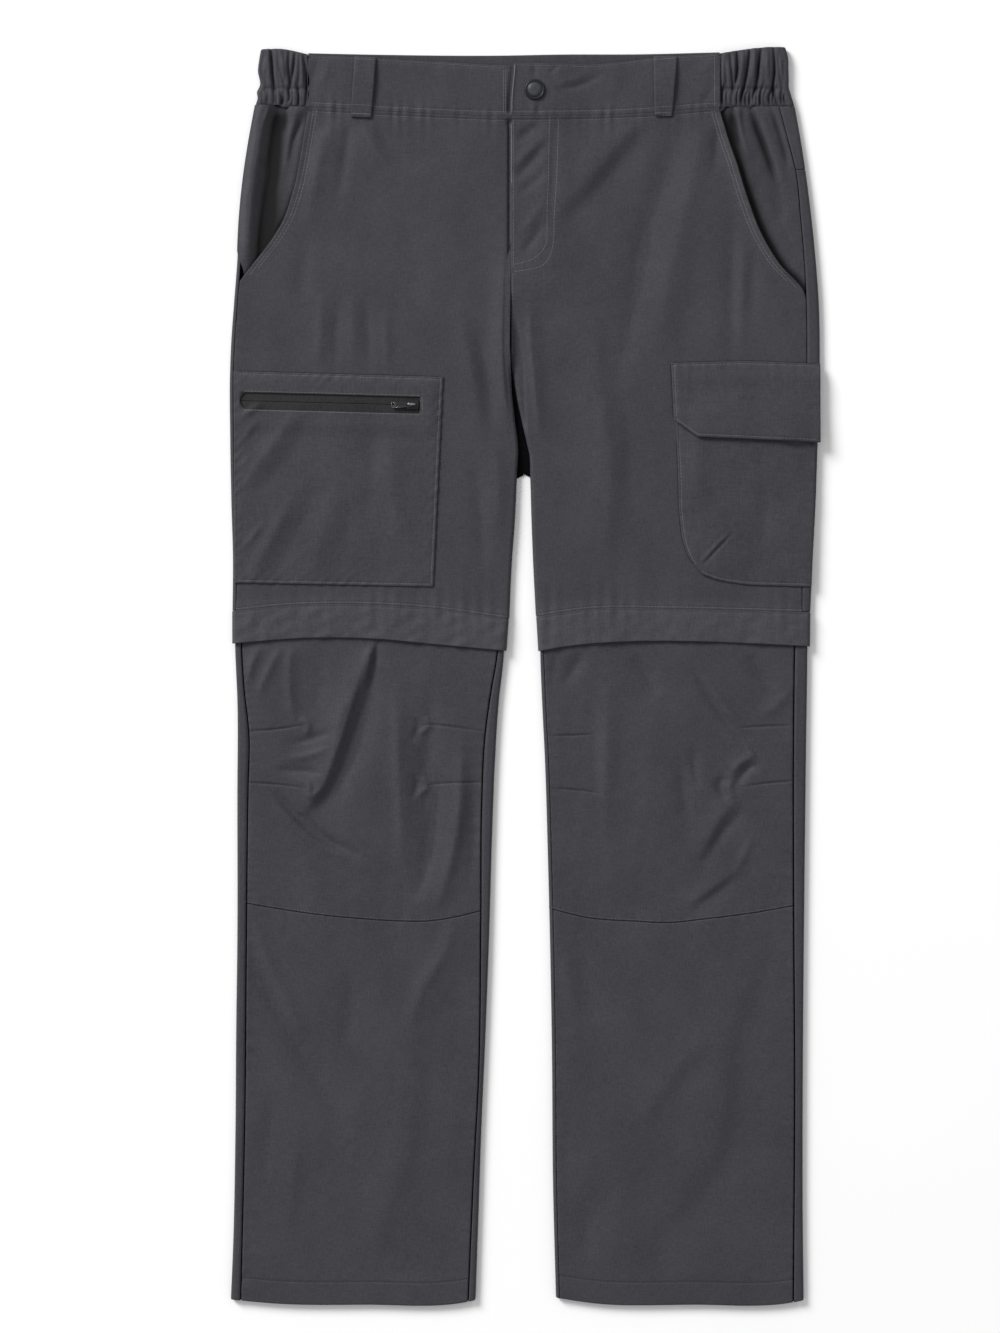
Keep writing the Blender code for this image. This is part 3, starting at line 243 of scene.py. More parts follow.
# %% Folds read off the photograph
FOLDS = [(height, left, right, seen(*pixels)) for height, left, right, *pixels in (
    # right knee: the standing fold and the valley beside it, then what runs off it
    (3.6, 13, 4.0, (369, 646), (362, 668), (354.5, 693), (346.5, 715), (339.5, 740), (331, 765),
     (320, 790), (302, 811)),
    (1.7, 5, 1.5, (377, 628), (370.5, 656), (363, 690)),
    (-1.7, 1.5, 4, (380, 628), (374, 658), (367, 692)),
    (-3.2, 4.5, 12, (377, 662), (368, 696), (361, 719), (353, 743), (344, 768), (331, 793), (311, 815)),
    (-2.9, 3, 5, (272, 790), (298, 818), (325, 840), (363, 858)),
    (1.2, 7, 3, (268, 796), (294, 823), (322, 846), (352, 860)),
    (1.7, 6, 4, (262, 644), (252, 664), (243, 690)),
    (1.3, 4, 4, (282, 646), (270, 668), (258, 696)),
    (1.4, 4, 5, (292, 634), (289, 680), (294, 715), (306, 731)),
    (-0.9, 9, 9, (318, 640), (320, 685), (312, 716)),
    (-1.3, 3, 4, (292, 744), (310, 739), (330, 733)),
    (1.3, 4, 3, (286, 758), (305, 756), (330, 748)),
    (-1.3, 3, 4, (276, 770), (298, 771), (324, 773)),
    (1.2, 3, 3, (300, 717), (308, 724), (306, 735)),
    (1.3, 3, 3, (296, 779), (308, 784), (311, 796), (322, 786)),
    (1.2, 3, 3, (418, 735), (428, 727), (426, 715)),
    (-1.2, 3, 3, (412, 742), (418, 728), (416, 716)),
    (1.2, 3, 3, (417, 796), (426, 788), (424, 776)),
    (-1.1, 3, 3, (412, 800), (417, 786), (415, 772)),
    (2.0, 5, 9, (396, 690), (398, 752), (400, 802), (403, 858)),
    (2.6, 7, 6, (462, 738), (460, 800), (455, 840), (446, 880), (436, 912)),
    (-2.3, 12, 6, (440, 770), (434, 830), (424, 876), (411, 904)),
    (-1.4, 8, 8, (430, 690), (428, 760), (424, 830)),
    (-1.2, 6, 6, (474, 770), (474, 840), (468, 890)),
    # left knee: the creases that meet at the end of the lower outer dart
    (-1.6, 4, 3, (695, 674), (713, 702), (733, 729), (753, 757)),
    (1.6, 3, 5, (701, 672), (720, 700), (740, 727), (760, 755)),
    (1.7, 1.8, 2.2, (722, 706), (735, 728), (747, 744), (757, 761)),
    (-1.3, 2.5, 3, (730, 720), (748, 742), (762, 764)),
    (-2.0, 4, 4, (723, 776), (720, 787), (727, 800)),
    (1.1, 3, 3, (732, 778), (730, 789), (735, 800)),
    (-2.0, 4, 4, (760, 763), (748, 769), (741, 777), (735, 787)),
    (1.3, 4, 3, (754, 755), (741, 763), (731, 773)),
    (1.5, 10, 5, (740, 796), (720, 818), (707, 841), (696, 862)),
    (-1.3, 5, 6, (744, 810), (727, 828), (713, 848), (702, 866)),
    (1.1, 9, 4, (738, 868), (712, 887), (686, 906)),
    (-0.9, 4, 7, (741, 876), (716, 894), (690, 913)),
    (0.9, 4, 4, (752, 838), (744, 856), (736, 872)),
    (-1.5, 7, 6, (681, 762), (685, 806), (692, 826)),
    (-1.0, 4, 4, (693, 748), (697, 790)),
    (1.2, 5, 10, (610, 676), (607, 740), (606, 790), (609, 850)),
    (-0.7, 9, 5, (594, 690), (594, 750), (596, 800)),
    (-1.5, 7, 7, (632, 655), (647, 676), (660, 697)),
    (-1.5, 6, 6, (584, 652), (573, 670), (561, 688)),
    (-1.2, 5, 5, (556, 655), (550, 672), (544, 690)),
    (-1.5, 7, 7, (748, 655), (760, 672), (775, 690)),
    (1.2, 6, 6, (790, 690), (776, 706), (760, 716)),
    # shorts part
    (2.0, 16, 9, (648, 108), (616, 147), (582, 185), (552, 216)),
    (-1.8, 8, 14, (662, 108), (628, 152), (594, 193), (562, 228)),
    (-2.9, 14, 12, (684, 100), (673, 150), (660, 192), (648, 231), (640, 277), (629, 331), (612, 392)),
    (1.7, 9, 12, (704, 112), (697, 160), (684, 215), (668, 290), (660, 360)),
    (-1.3, 4, 5, (719, 112), (716, 150), (713, 174)),
    (-1.3, 7, 7, (733, 210), (732, 290), (730, 368)),
    (-1.2, 6, 6, (755, 248), (752, 280), (750, 320)),
    (1.2, 6, 6, (744, 240), (742, 300), (741, 350)),
    (1.8, 14, 9, (592, 300), (598, 380), (606, 430), (609, 484), (605, 560)),
    (-1.5, 9, 14, (622, 390), (630, 450), (628, 530)),
    (3.4, 8, 4.0, (505, 250), (503, 300), (502, 345), (503.5, 385), (508, 425)),
    (2.2, 4, 7, (530, 300), (531, 345), (536, 395), (540, 440)),
    (-1.9, 8, 8, (476, 325), (488, 384), (492, 430)),
    (1.6, 9, 8, (456, 300), (466, 340), (476, 395), (482, 445)),
    (1.8, 9, 8, (494, 438), (499, 484), (496, 530)),
    (-1.7, 8, 8, (474, 466), (481, 520), (483, 570)),
    (1.3, 5, 6, (353, 296), (353, 340), (352, 369)),
    (-1.1, 4, 4, (366, 300), (368, 335), (370, 369)),
    (1.1, 4, 4, (386, 312), (387, 350), (388, 371)),
    (-1.0, 4, 4, (338, 300), (336, 335), (336, 369)),
    (1.1, 5, 5, (322, 290), (320, 340), (318, 368)),
    (-1.5, 9, 9, (307, 226), (303, 270), (301, 304)),
    (1.7, 7, 8, (337, 110), (322, 150), (314, 190), (308, 230)),
    (-1.4, 6, 6, (319, 108), (309, 150), (303, 190)),
    (-1.5, 5, 6, (352, 108), (346, 150), (338, 200)),
    (-1.8, 6, 7, (372, 100), (378, 128), (396, 152), (420, 172)),
    (1.2, 8, 5, (366, 118), (372, 140), (388, 166)),
    (-1.0, 12, 12, (400, 190), (412, 250), (420, 330)),
    (-1.4, 4, 4, (545, 116), (530, 130), (514, 143)),
    (1.1, 4, 4, (538, 112), (526, 123), (513, 133)),
    (-1.5, 4, 5, (549, 141), (530, 163), (513, 181)),
    (1.3, 5, 4, (544, 137), (526, 155), (513, 169)),
    (-1.1, 4, 4, (547, 168), (534, 182), (516, 196)),
    (-1.3, 4, 4, (546, 220), (534, 238), (522, 254)),
    (1.0, 5, 4, (543, 204), (532, 220), (520, 233)),
    (-1.0, 3, 5, (554, 118), (552.5, 170), (550, 230)),
    (1.3, 3, 4, (686, 112), (698, 98), (714, 82)),
    (1.0, 3, 3, (696, 118), (712, 109), (730, 92)),
    (-1.0, 3, 3, (706, 106), (724, 90)),
    (1.1, 3, 4, (626, 110), (640, 92), (650, 74)),
    (-0.9, 3, 4, (634, 112), (648, 92), (656, 80)),
    (0.9, 4, 4, (560, 106), (580, 96), (604, 92)),
    # patch pocket and cargo pocket
    (2.0, 7, 8, (300, 408), (268, 452), (238, 492)),
    (-0.6, 6, 8, (312, 420), (284, 462), (258, 496)),
    (2.1, 7, 8, (297, 492), (270, 542), (248, 584)),
    (-0.6, 6, 8, (312, 500), (288, 552), (270, 584)),
    (1.3, 3, 3, (264, 522), (250, 540), (238, 554)),
    (1.6, 3, 3, (262, 403), (250, 412), (236, 420)),
    (1.3, 3, 3, (258, 420), (246, 434), (236, 446)),
    (1.2, 3, 3, (250, 456), (242, 468), (236, 478)),
    (1.5, 9, 10, (335, 486), (322, 540), (312, 584)),
    (-1.0, 8, 8, (352, 500), (346, 560)),
    (1.4, 8, 10, (392, 430), (392, 480), (404, 550)),
    (-1.2, 9, 9, (370, 430), (372, 520)),
    (-1.1, 1.0, 1.0, (732, 534), (717, 549), (702, 566)),
    (0.9, 1.4, 1.0, (729.5, 532.5), (714.5, 547.5), (699.5, 564)),
    (1.0, 3, 3, (731, 520), (736, 530), (744, 536)),
    (1.2, 8, 10, (700, 420), (696, 470), (700, 520)),
    (-1.1, 8, 10, (760, 440), (765, 500), (762, 560)),
    (-1.6, 3, 4, (782, 440), (796, 446), (812, 450)),
    (1.3, 4, 3, (778, 432), (794, 438), (812, 442)),
    # shins
    (2.6, 5, 7, (254, 918), (266, 958), (286, 1000), (308, 1046)),
    (-2.4, 9, 9, (246, 940), (267, 987), (292, 1037), (324, 1087), (352, 1142)),
    (1.7, 26, 14, (460, 938), (434, 991), (412, 1023), (411, 1075), (407, 1129), (396, 1179), (380, 1225),
     (360, 1264)),
    (-0.9, 13, 18, (470, 950), (448, 1000), (428, 1035), (428, 1090), (424, 1135), (412, 1185), (398, 1230),
     (380, 1268)),
    (1.6, 7, 6, (454, 918), (445, 950), (422, 990), (408, 1030)),
    (-1.5, 9, 9, (350, 970), (348, 1045)),
    (1.2, 14, 14, (352, 1080), (356, 1180)),
    (-1.5, 10, 8, (272, 1090), (264, 1180)),
    (1.3, 9, 9, (296, 1130), (290, 1230)),
    (1.5, 26, 14, (770, 915), (752, 965), (737, 1003), (727, 1040), (723, 1092), (714, 1146), (686, 1188),
     (655, 1226),
     (628, 1270)),
    (-0.9, 12, 20, (782, 925), (766, 972), (751, 1012), (741, 1045), (738, 1096), (729, 1152), (704, 1194),
     (674, 1232),
     (648, 1270)),
    (1.2, 16, 10, (708, 1034), (676, 1070), (653, 1103), (636, 1138)),
    (-0.7, 8, 12, (716, 1046), (686, 1080), (662, 1112)),
    (-1.5, 9, 9, (575, 940), (586, 985), (597, 1025)),
    (1.2, 9, 9, (564, 950), (572, 1000), (580, 1040)),
    (-1.2, 10, 10, (585, 1195), (588, 1262)),
    (1.0, 12, 12, (620, 1180), (612, 1250)),
)]
DARTS = [seen(*pixels) for pixels in (((247, 731.5), (278, 729), (304.5, 725)),
                                      ((419, 728), (431, 724.5), (484, 731)),
                                      ((237, 782), (272, 784), (306, 788)),
                                      ((425.5, 785), (450, 783), (492, 782)),
                                      ((548, 735), (570, 735.5), (595, 734)),
                                      ((550, 788), (575, 790), (600, 793)),
                                      ((737, 728), (760, 726.5), (794, 725)),
                                      ((741, 787), (765, 783.5), (804, 780)))]
FOLDS += [(-0.8, 0.9, 0.9, dart) for dart in DARTS]
print("folds read off the photograph:", len(FOLDS))


def edges_fade(x, down, early=0.0):
    """0 beside the outer edges, the leg fold and the knee bands, 1 on the open cloth."""
    upper = (ramp(58, 76, down) * (1 - ramp(452, 470, down)) * ramp(4, 18, x - EDGE_RIGHT(down))
             * ramp(4, 18, EDGE_LEFT(down) - x))
    middle = (INNER_RIGHT(down) + INNER_LEFT(down)) / 2
    upper = upper * (1 - (1 - ramp(1.5, 7, np.abs(x - middle))) * ramp(262, 300, down))
    lower = (ramp(504 - early, 514 - early, down) * (1 - ramp(1036, 1050, down))
             * ramp(5, 14, x - LOWER_OUT_RIGHT(down)) * ramp(5, 14, LOWER_OUT_LEFT(down) - x))
    inner = np.where(x < -5, LOWER_IN_RIGHT(down) - x, x - LOWER_IN_LEFT(down))
    lower = lower * ramp(5, 14, inner)
    return np.where(down < 490, upper, lower)


def relief(x, down):
    """Height of folds and waves of the top cloth at points of the garment."""
    x, down = np.broadcast_arrays(np.asarray(x, float), np.asarray(down, float))
    total = 0.35 * waves(x, down * 0.6, 105.0, 3) + 0.16 * waves(x, down, 38.0, 4)
    total = total + 0.05 * waves(x, down, 15.0, 5)
    for height, left, right, points in FOLDS:
        total = total + fold(x, down, height, left, right, *points)
    total = total * (1 + 0.3 * ramp(505, 520, down) * (1 - ramp(735, 760, down)))
    return np.clip(total, -2.7, 4.2) * edges_fade(x, down, np.where(total < 0, 9.0, 0.0))


# %% [markdown]
# Every piece of cloth is laid as a grid of points. Blender makes the grid, and its points are then moved
# to their places all at once, which is quick even for a hundred thousand of them. The first and last few
# rows lie close together, so that an edge can roll over. A Solidify modifier then gives the cloth its
# thickness, inwards from the side that shows.

# %% Lay a grid of points as cloth
def steps(length, pitch, ends=(0.0, 0.4, 1.0, 1.6, 2.2, 2.8, 3.6, 4.8), fine=()):
    """Shares of a length: close together at both ends and in the fine spans, pitch apart between them."""
    ends = np.array(ends)
    ends = ends[ends < length / 2.5]
    inner = np.linspace(ends[-1], length - ends[-1], max(int((length - 2 * ends[-1]) / pitch), 2) + 1)
    for low, high, close in fine:
        inner = np.concatenate((inner[(inner < low) | (inner > high)], np.arange(low, high, close)))
    return np.concatenate((ends[:-1], np.sort(inner), (length - ends[:-1])[::-1])) / length


pieces = {}


def lay(name, places, thick=CLOTH, holes=None, closed=False, painted_shade=None):
    """A sheet from rows and columns of places in metres, with a wall thick millimetres deep."""
    rows, columns = places.shape[:2]
    bm = bmesh.new()
    bmesh.ops.create_grid(bm, x_segments=columns - 1, y_segments=rows - 1, size=1.0)
    spots = np.array([v.co[:2] for v in bm.verts])
    column = np.rint((spots[:, 0] + 1) / 2 * (columns - 1)).astype(int)
    row = np.rint((1 - spots[:, 1]) / 2 * (rows - 1)).astype(int)
    for vert, spot in zip(bm.verts, places[row, column]):
        vert.co = spot
    # The share of painted shade at each point: the cloth finish mixes the colour towards near black by it.
    if painted_shade is not None:
        layer = bm.verts.layers.float.new("painted_shade")
        for vert, share in zip(bm.verts, painted_shade[row, column]):
            vert[layer] = share
    if holes is not None:
        first = [(holes[row[v], column[v]]) for v in range(len(row))]
        gone = [f for f in bm.faces if all(first[v.index] for v in f.verts)]
        bmesh.ops.delete(bm, geom=gone, context="FACES")
    if closed:
        bmesh.ops.remove_doubles(bm, verts=bm.verts, dist=1e-6)
    mesh = bpy.data.meshes.new(name + "_cloth")
    bm.to_mesh(mesh)
    bm.free()
    mesh.shade_smooth()
    thing = bpy.data.objects.new(name + "_cloth", mesh)
    bpy.context.collection.objects.link(thing)
    wall = thing.modifiers.new("wall", "SOLIDIFY")
    wall.thickness = thick * 0.001
    wall.offset = -1.0
    wall.use_rim = True
    # The inner side and the rim take the piece's second finish, for most cloth a near-black painted shadow where a
    # gap shows them.
    wall.material_offset = 1
    wall.material_offset_rim = 1
    pieces[name] = thing
    return thing


def cut_size(flat):
    """Width, length and area of the cut from its places before folds, in metres."""
    across = np.linalg.norm(np.diff(flat, axis=1), axis=-1)
    along = np.linalg.norm(np.diff(flat, axis=0), axis=-1)
    a, b = flat[1:, 1:] - flat[:-1, :-1], flat[1:, :-1] - flat[:-1, 1:]
    area = np.linalg.norm(np.cross(a, b), axis=-1) / 2
    return across.sum(1).max(), along.sum(0).max(), area


def declare(thing, node, flat, keep=None):
    """Ride on the garment, hide the solid it stands for and print its cut size."""
    width, length, area = cut_size(flat)
    area = area.sum() if keep is None else area[keep].sum()
    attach(thing, "garment")
    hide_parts(node)
    print(f"{node}: cut {width * 1000:.0f} x {length * 1000:.0f} mm, {len(thing.data.polygons)} faces")


# %% [markdown]
# Most panels lie level on what is under them. One function lays them all: it fills the space between four
# edges with a grid, rolls the edges down and puckers the ones that are sewn.

# %% Panels that lie level
def span(first, last, left, right, across, along):
    """x and down of a four-sided panel: shares across and along, between two sides and two ends."""
    v = along[:, None]

    def row(x):
        return first(x) * (1 - v) + last(x) * v

    ends = []
    for side in (left, right):
        down = row(np.zeros_like(v))
        for _ in range(7):
            x = side(down)
            down = row(x)
        ends.append(side(down))
    x = ends[0] + (ends[1] - ends[0]) * across[None, :]
    return x, row(x), ends


def rolled(away, drop=0.55, reach=1.4):
    """How far the cloth turns down at a distance from its own edge."""
    s = 1 - np.clip(away / reach, 0.0, 1.0)
    return -drop * (1 - np.sqrt(np.clip(1 - s * s, 0.0, 1.0)))


def stitched(away, at=2.3, depth=0.3):
    """The narrow valley that a row of stitches pulls into the cloth."""
    return -depth * np.exp(-(((away - at) / 0.8) ** 2))


def pucker(away, along, seed, strength=0.22, reach=7.0, length=9.0):
    """Short ripples that cross a sewn edge and die out away from it."""
    return strength * np.exp(-away / reach) * waves(along, 0.0 * along, length, seed, 5)


def blended(z, target, away, reach):
    """Bring a height to that of its neighbour towards a seam, so that the two pieces meet."""
    share = np.exp(-((np.maximum(away, 0.0) / reach) ** 2))
    return z * (1 - share) + target * share


def level_panel(name, first, last, left, right, pitch, height, sewn="lrtb", seed=1,
                thick=CLOTH, roll=0.55, strength=0.22, rows="", fine=(), meet=None,
                painted_shade_below=None):
    """Lay a panel, roll its edges and pucker those that are sewn; height gives its z."""
    v_mid = np.array((0.5,))
    x, down, ends = span(first, last, left, right, np.array((0.0, 0.5, 1.0)), v_mid)
    wide = float(x[0, 2] - x[0, 0])
    tall = float(last(x[0, 1]) - first(x[0, 1]))
    across, along = steps(abs(wide), pitch), steps(tall, pitch, fine=fine)
    x, down, ends = span(first, last, left, right, across, along)
    away = {"l": x - ends[0], "r": ends[1] - x, "t": down - first(x), "b": last(x) - down}
    z = height(x, down)
    flat = place(x, down, z * 0 + LOFT)
    for number, side in enumerate("lrtb"):
        z = z + rolled(away[side], roll)
        if side in sewn:
            z = z + pucker(away[side], down if side in "lr" else x, seed * 7 + number, strength)
        if side in rows:
            z = z + stitched(away[side])
    if meet is not None:
        side, line, reach = meet
        z = blended(z, line(x), away[side], reach)
    # Cloth lower than the given height gets painted shade, darker the deeper it lies.
    painted_shade = None if painted_shade_below is None else np.clip((painted_shade_below - z) / 2.5, 0.0, 1.0)
    thing = lay(name, place(x, down, z), thick, painted_shade=painted_shade)
    declare(thing, name, flat)
    return thing


# %% [markdown]
# The two front panels are cut from one outline: the slanted pocket mouth, the side seam, the knee seam,
# the fold between the legs and the fly. The left one laps over the right one beside the fly. Below the fly
# each turns down into the fold between the legs, so its last columns bend through a quarter turn.

# %% Heights at the seams that two pieces share
FLY_WIDTH, OVERLAP = 24.0, 34.0


def ripple(x, seed, length, strength):
    """Puckers along a seam: short ripples, some strong and some weak."""
    return strength * waves(x, x * 0, length, seed, 6) * (0.7 + 0.5 * waves(x, x * 0, 60.0, seed + 1, 4))


def waist_seam_right(x):
    return LOFT + 0.55 + ripple(x, 53, 7.0, 0.45)


def waist_seam_left(x):
    return waist_seam_right(x) + 2.5 * (1 - ramp(FLY + OVERLAP, FLY + OVERLAP + 36, x))


def band_seam(x):
    return LOFT + 1.1 + ripple(x, 65, 12.0, 0.35)


# %% [markdown]
# A front panel runs from the waist seam to the knee band. Its surface is a height over the table at every
# point, and towards a seam that height blends into the seam's own, so both pieces meet.

# %% Front panels
side_right = moved(EDGE_RIGHT, LOFT / 2 + GAP / 2)
side_left = moved(SIDE_SEAM_LEFT, -GAP / 2)


def front_side_right(down):
    return np.where(down < 215, np.maximum(MOUTH_RIGHT(down), side_right(down)), side_right(down))


def front_side_left(down):
    return np.where(down < 225, np.minimum(MOUTH_LEFT(down), side_left(down)), side_left(down))


def inner_right(down):
    fly = FLY - GAP / 2 - 0.7 * ramp(193, 255, down) + FLY_WIDTH * (1 - ramp(80, 200, down))
    return np.where(down > 255, INNER_RIGHT(down) - GAP / 2, fly)


def inner_left(down):
    fly = FLY + GAP / 2 - 0.1 * ramp(193, 255, down) + 1.5 * np.exp(-(((down - 62.5) / 2.6) ** 2))
    return np.where(down > 255, INNER_LEFT(down) + GAP / 2, fly)


def fly_lift(x, down):
    """The left front lies over the right one beside the fly."""
    return 1.9 * (1 - ramp(FLY + FLY_WIDTH + 4, FLY + FLY_WIDTH + 36, x)) * (1 - ramp(199, 232, down))


def gape(away, down, low, high, height):
    """The free edge of a pocket mouth stands up a little."""
    edge = np.exp(-((np.maximum(away, 0) / 6.0) ** 1.5))
    return height * edge * ramp(52, 68, down) * (1 - ramp(low, high, down))


def front_right_height(x, down):
    hole = np.exp(-(((down - 63.5) / 3.0) ** 2))
    darker_ring_centre = (1.9 + 1.2 * hole) * np.exp(-(((x - FLY + 1.3) / (1.3 + hole)) ** 2)) * (1 - ramp(196, 212, down))
    return LOFT + relief(x, down) - darker_ring_centre + gape(x - MOUTH_RIGHT(down), down, 176, 197, 0.5)


def front_left_height(x, down):
    tuck = ramp(0.8, -0.8, x - CREST_LEFT(down)) * ramp(226, 252, down) * (1 - ramp(336, 350, down))
    edge = 0.7 * np.exp(-((np.maximum(x - FLY, 0) / 1.6) ** 2)) * (1 - ramp(190, 206, down))
    return (LOFT + relief(x, down) + fly_lift(x, down) + edge - 2.2 * tuck
            + gape(MOUTH_LEFT(down) - x, down, 190, 214, 2.8))


def bend(turn, length, count):
    """Run, drop and tilt of points along a strip that bends by an angle over its length."""
    share = np.arange(1, count + 1)[None, :] / count
    angle = np.maximum(turn, 1e-4) * share
    radius = length / np.maximum(turn, 1e-4)
    return radius * np.sin(angle), radius * (1 - np.cos(angle)), angle


def front_panel(name, last, outer_side, inner_side, height, sign, seed, waist_seam):
    """A front panel whose inner side bends down below the fly."""
    first = moved(WAIST_SEAM, 0.03)
    last = moved(last, -0.03)
    along = steps(421.0, 2.0)
    across = steps(240.0, 2.0)
    fine = 40.0 if sign > 0 else 15.0
    across = np.concatenate((across[across < 1 - fine / 240], 1 - np.arange(fine, -0.1, -0.75) / 240))
    x, down, ends = span(first, last, outer_side, inner_side, across, along)
    inner_down = down[:, -1:]
    turn = math.radians(90) * ramp(258, 292, inner_down)
    length = LOFT / 2 * math.pi / 2
    run, drop = bend(turn, length, 6)[:2]
    outer = ends[0]
    flat_end = ends[1] - sign * run[:, -1:]
    x = outer + (flat_end - outer) * across[None, :]
    v = along[:, None]
    down = first(x) * (1 - v) + last(x) * v
    z = height(x, down)
    z = z + rolled(sign * (x - outer)) + pucker(sign * (x - outer), down, seed)
    upper, lower = down - first(x), last(x) - down
    z = z + ripple(x, 53, 7.0, 0.45) * np.exp(-upper / 11.0) + ripple(x, 65, 12.0, 0.5) * np.exp(-lower / 13.0)
    z = blended(z, waist_seam(x), upper, 4.0) + rolled(upper, 0.12, 0.8) + stitched(upper, 3.7, 0.4)
    z = blended(z, band_seam(x), lower, 5.0) + rolled(lower, 0.12, 0.8) + stitched(lower, 1.6, 0.35)
    bent_x = flat_end + sign * run
    bent_down = np.repeat(down[:, -1:], 6, axis=1)
    bent_z = z[:, -1:] - drop
    x, down, z = np.hstack((x, bent_x)), np.hstack((down, bent_down)), np.hstack((z, bent_z))
    places = place(x, down, z)
    flat = place(x, down, np.hstack((z[:, :-6] * 0 + LOFT, LOFT - drop)))
    if sign < 0:
        places, flat = places[:, ::-1], flat[:, ::-1]
    thing = lay(name, places)
    declare(thing, name, flat)


front_panel("front_right", BAND_TOP_RIGHT, front_side_right, inner_right, front_right_height, 1, 11,
            waist_seam_right)
front_panel("front_left", BAND_TOP_LEFT, front_side_left, inner_left, front_left_height, -1, 21,
            waist_seam_left)

# %% [markdown]
# A back panel starts on the front at the side seam, goes round the edge of the flattened tube and lies on
# the table. Its section is a path of straight runs and half circles. The path always runs to the right on
# top, so that the faces look out, and the rows follow the garment down.

# %% Sections of a flattened tube
def strip(x0, x1, z, up, pitch):
    """A straight run of a section from x0 to x1 (arrays, one row each), with the side that faces out."""
    count = max(int(np.abs(x1 - x0).max() / pitch), 1)
    share = np.arange(count + 1)[None, :] / count
    x = x0 + (x1 - x0) * share
    return x, x * 0 + z, x * 0, x * 0 + up


def turned(x_end, z0, z1, side, going, count=10):
    """The half circle round an edge. side is -1 for a left edge; going is 1 from top to bottom."""
    share = np.arange(count + 1)[None, :] / count
    angle = np.pi * (share if going > 0 else 1 - share)
    radius = (z1 - z0) / 2
    nx, nz = side * np.sin(angle) + 0 * x_end, np.cos(angle) + 0 * x_end
    return x_end - side * radius + radius * nx, z0 + radius + radius * nz, nx, nz


def section(*runs):
    """Join runs into one path; a point that two runs share is kept once."""
    path = list(runs[0])
    for run in runs[1:]:
        shared = all(np.allclose(path[k][:, -1], run[k][:, 0], atol=1e-6) for k in (0, 1))
        path = [np.hstack([start, more[:, 1:] if shared else more]) for start, more in zip(path, run)]
    return path


def rows_of(first, last, side, along):
    """Where each row meets a side: x and down, one row each."""
    v = along[:, None]
    down = first(np.zeros_like(v)) * (1 - v) + last(np.zeros_like(v)) * v
    for _ in range(7):
        x = side(down)
        down = first(x) * (1 - v) + last(x) * v
    return side(down), down


def lay_section(name, path, first, last, along, thick=CLOTH, closed=False, seed=5, lift=None,
                edge_roll=0.45, ragged=None, meet=None, painted_shade_below=None):
    """Lay a piece from its section; rows run from first to last."""
    x, z, nx, nz = path
    v = along[:, None]
    down = first(x) * (1 - v) + last(x) * v
    if ragged is not None:
        down = down + ragged(x) * v**3 * np.clip(nz, 0.0, 1.0)
    flat = place(x, down, z)
    top = np.clip(nz, 0.0, 1.0)
    if lift is not None:
        z = z + lift(x, down) * top
    away = np.minimum(down - first(x), last(x) - down)
    drop = rolled(away, edge_roll)
    z = z + drop * nz
    x = x + drop * nx
    puff = pucker(down - first(x), x + z * 3, seed) + pucker(last(x) - down, x + z * 3, seed + 1)
    z = z + puff * top
    if meet is not None:
        above = down - first(x)
        joined = blended(z, meet(x), above, 4.0) + rolled(above, 0.12, 0.8) + stitched(above, 1.8, 0.25)
        z = np.where(top > 0.99, joined, z)
    # Cloth lower than the given height gets painted shade, darker the deeper it lies.
    painted_shade = None if painted_shade_below is None else np.clip((painted_shade_below - z) / 2.8, 0.0, 1.0) * top
    thing = lay(name, place(x, down, z), thick, closed=closed, painted_shade=painted_shade)
    declare(thing, name, flat)
    return thing


# %% [markdown]
# The back is hidden but for its turn round the side, so it is plain. It is built as a section that follows
# the tube, because a flat grid could not go round an edge.

# %% Back panels and yoke
def back_panel(name, first, last, edge, end, seam, sign):
    """Half of the back: round the outer side and flat to the centre seam or the leg fold."""
    first, last = moved(first, GAP / 2), moved(last, -GAP / 2)
    along = steps(370.0, 3.0)
    x_edge = rows_of(first, last, edge, along)[0]
    x_end, down_end = rows_of(first, last, end, along)
    turn = math.radians(90) * ramp(CROTCH - 1, CROTCH + 14, down_end)
    run, rise, angle = bend(turn, LOFT / 2 * math.pi / 2 - 0.1, 5)
    flat_end = x_end + sign * run[:, -1:]
    curl = (flat_end - sign * run, rise, -sign * np.sin(angle), -np.cos(angle))
    inside = x_edge - sign * LOFT / 2
    if sign < 0:
        curl = [part[:, ::-1] for part in curl]
        path = section(curl, strip(flat_end, inside, 0.0, -1.0, 5.0), turned(x_edge, 0.0, LOFT, -1, -1))
    else:
        x_seam = rows_of(first, last, seam, along)[0]
        path = section(strip(x_seam, inside, LOFT, 1.0, 2.5), turned(x_edge, 0.0, LOFT, 1, 1),
                       strip(inside, flat_end, 0.0, -1.0, 5.0), curl)
    lay_section(name, path, first, last, along, lift=relief)


def back_end_right(down):
    return np.where(down < CROTCH, CENTRE_BACK - 0.02, INNER_RIGHT(down))


def back_end_left(down):
    return np.where(down < CROTCH, CENTRE_BACK + 0.02, INNER_LEFT(down))


# %% [markdown]
# The floor is made here: one wide plain pale plane with a faint unevenness of tone.

# %% Floor
bm = bmesh.new()
bmesh.ops.create_grid(bm, x_segments=1, y_segments=1, size=4.0)
floor_mesh = bpy.data.meshes.new("floor")
bm.to_mesh(floor_mesh)
bm.free()
floor = bpy.data.objects.new("floor", floor_mesh)
floor.location.z = -0.0002
bpy.context.collection.objects.link(floor)

# %% [markdown]
# The back panels rest on the floor. The yoke goes round the underside and both sides, so it is wrapped like
# the back of a lower leg later on.

# %% Lay the back and the yoke
back_panel("back_right", YOKE_SEAM, BAND_TOP_RIGHT, EDGE_RIGHT, back_end_right, None, -1)
back_panel("back_left", YOKE_SEAM, BAND_TOP_LEFT, EDGE_LEFT, back_end_left, moved(SIDE_SEAM_LEFT, GAP / 2), 1)


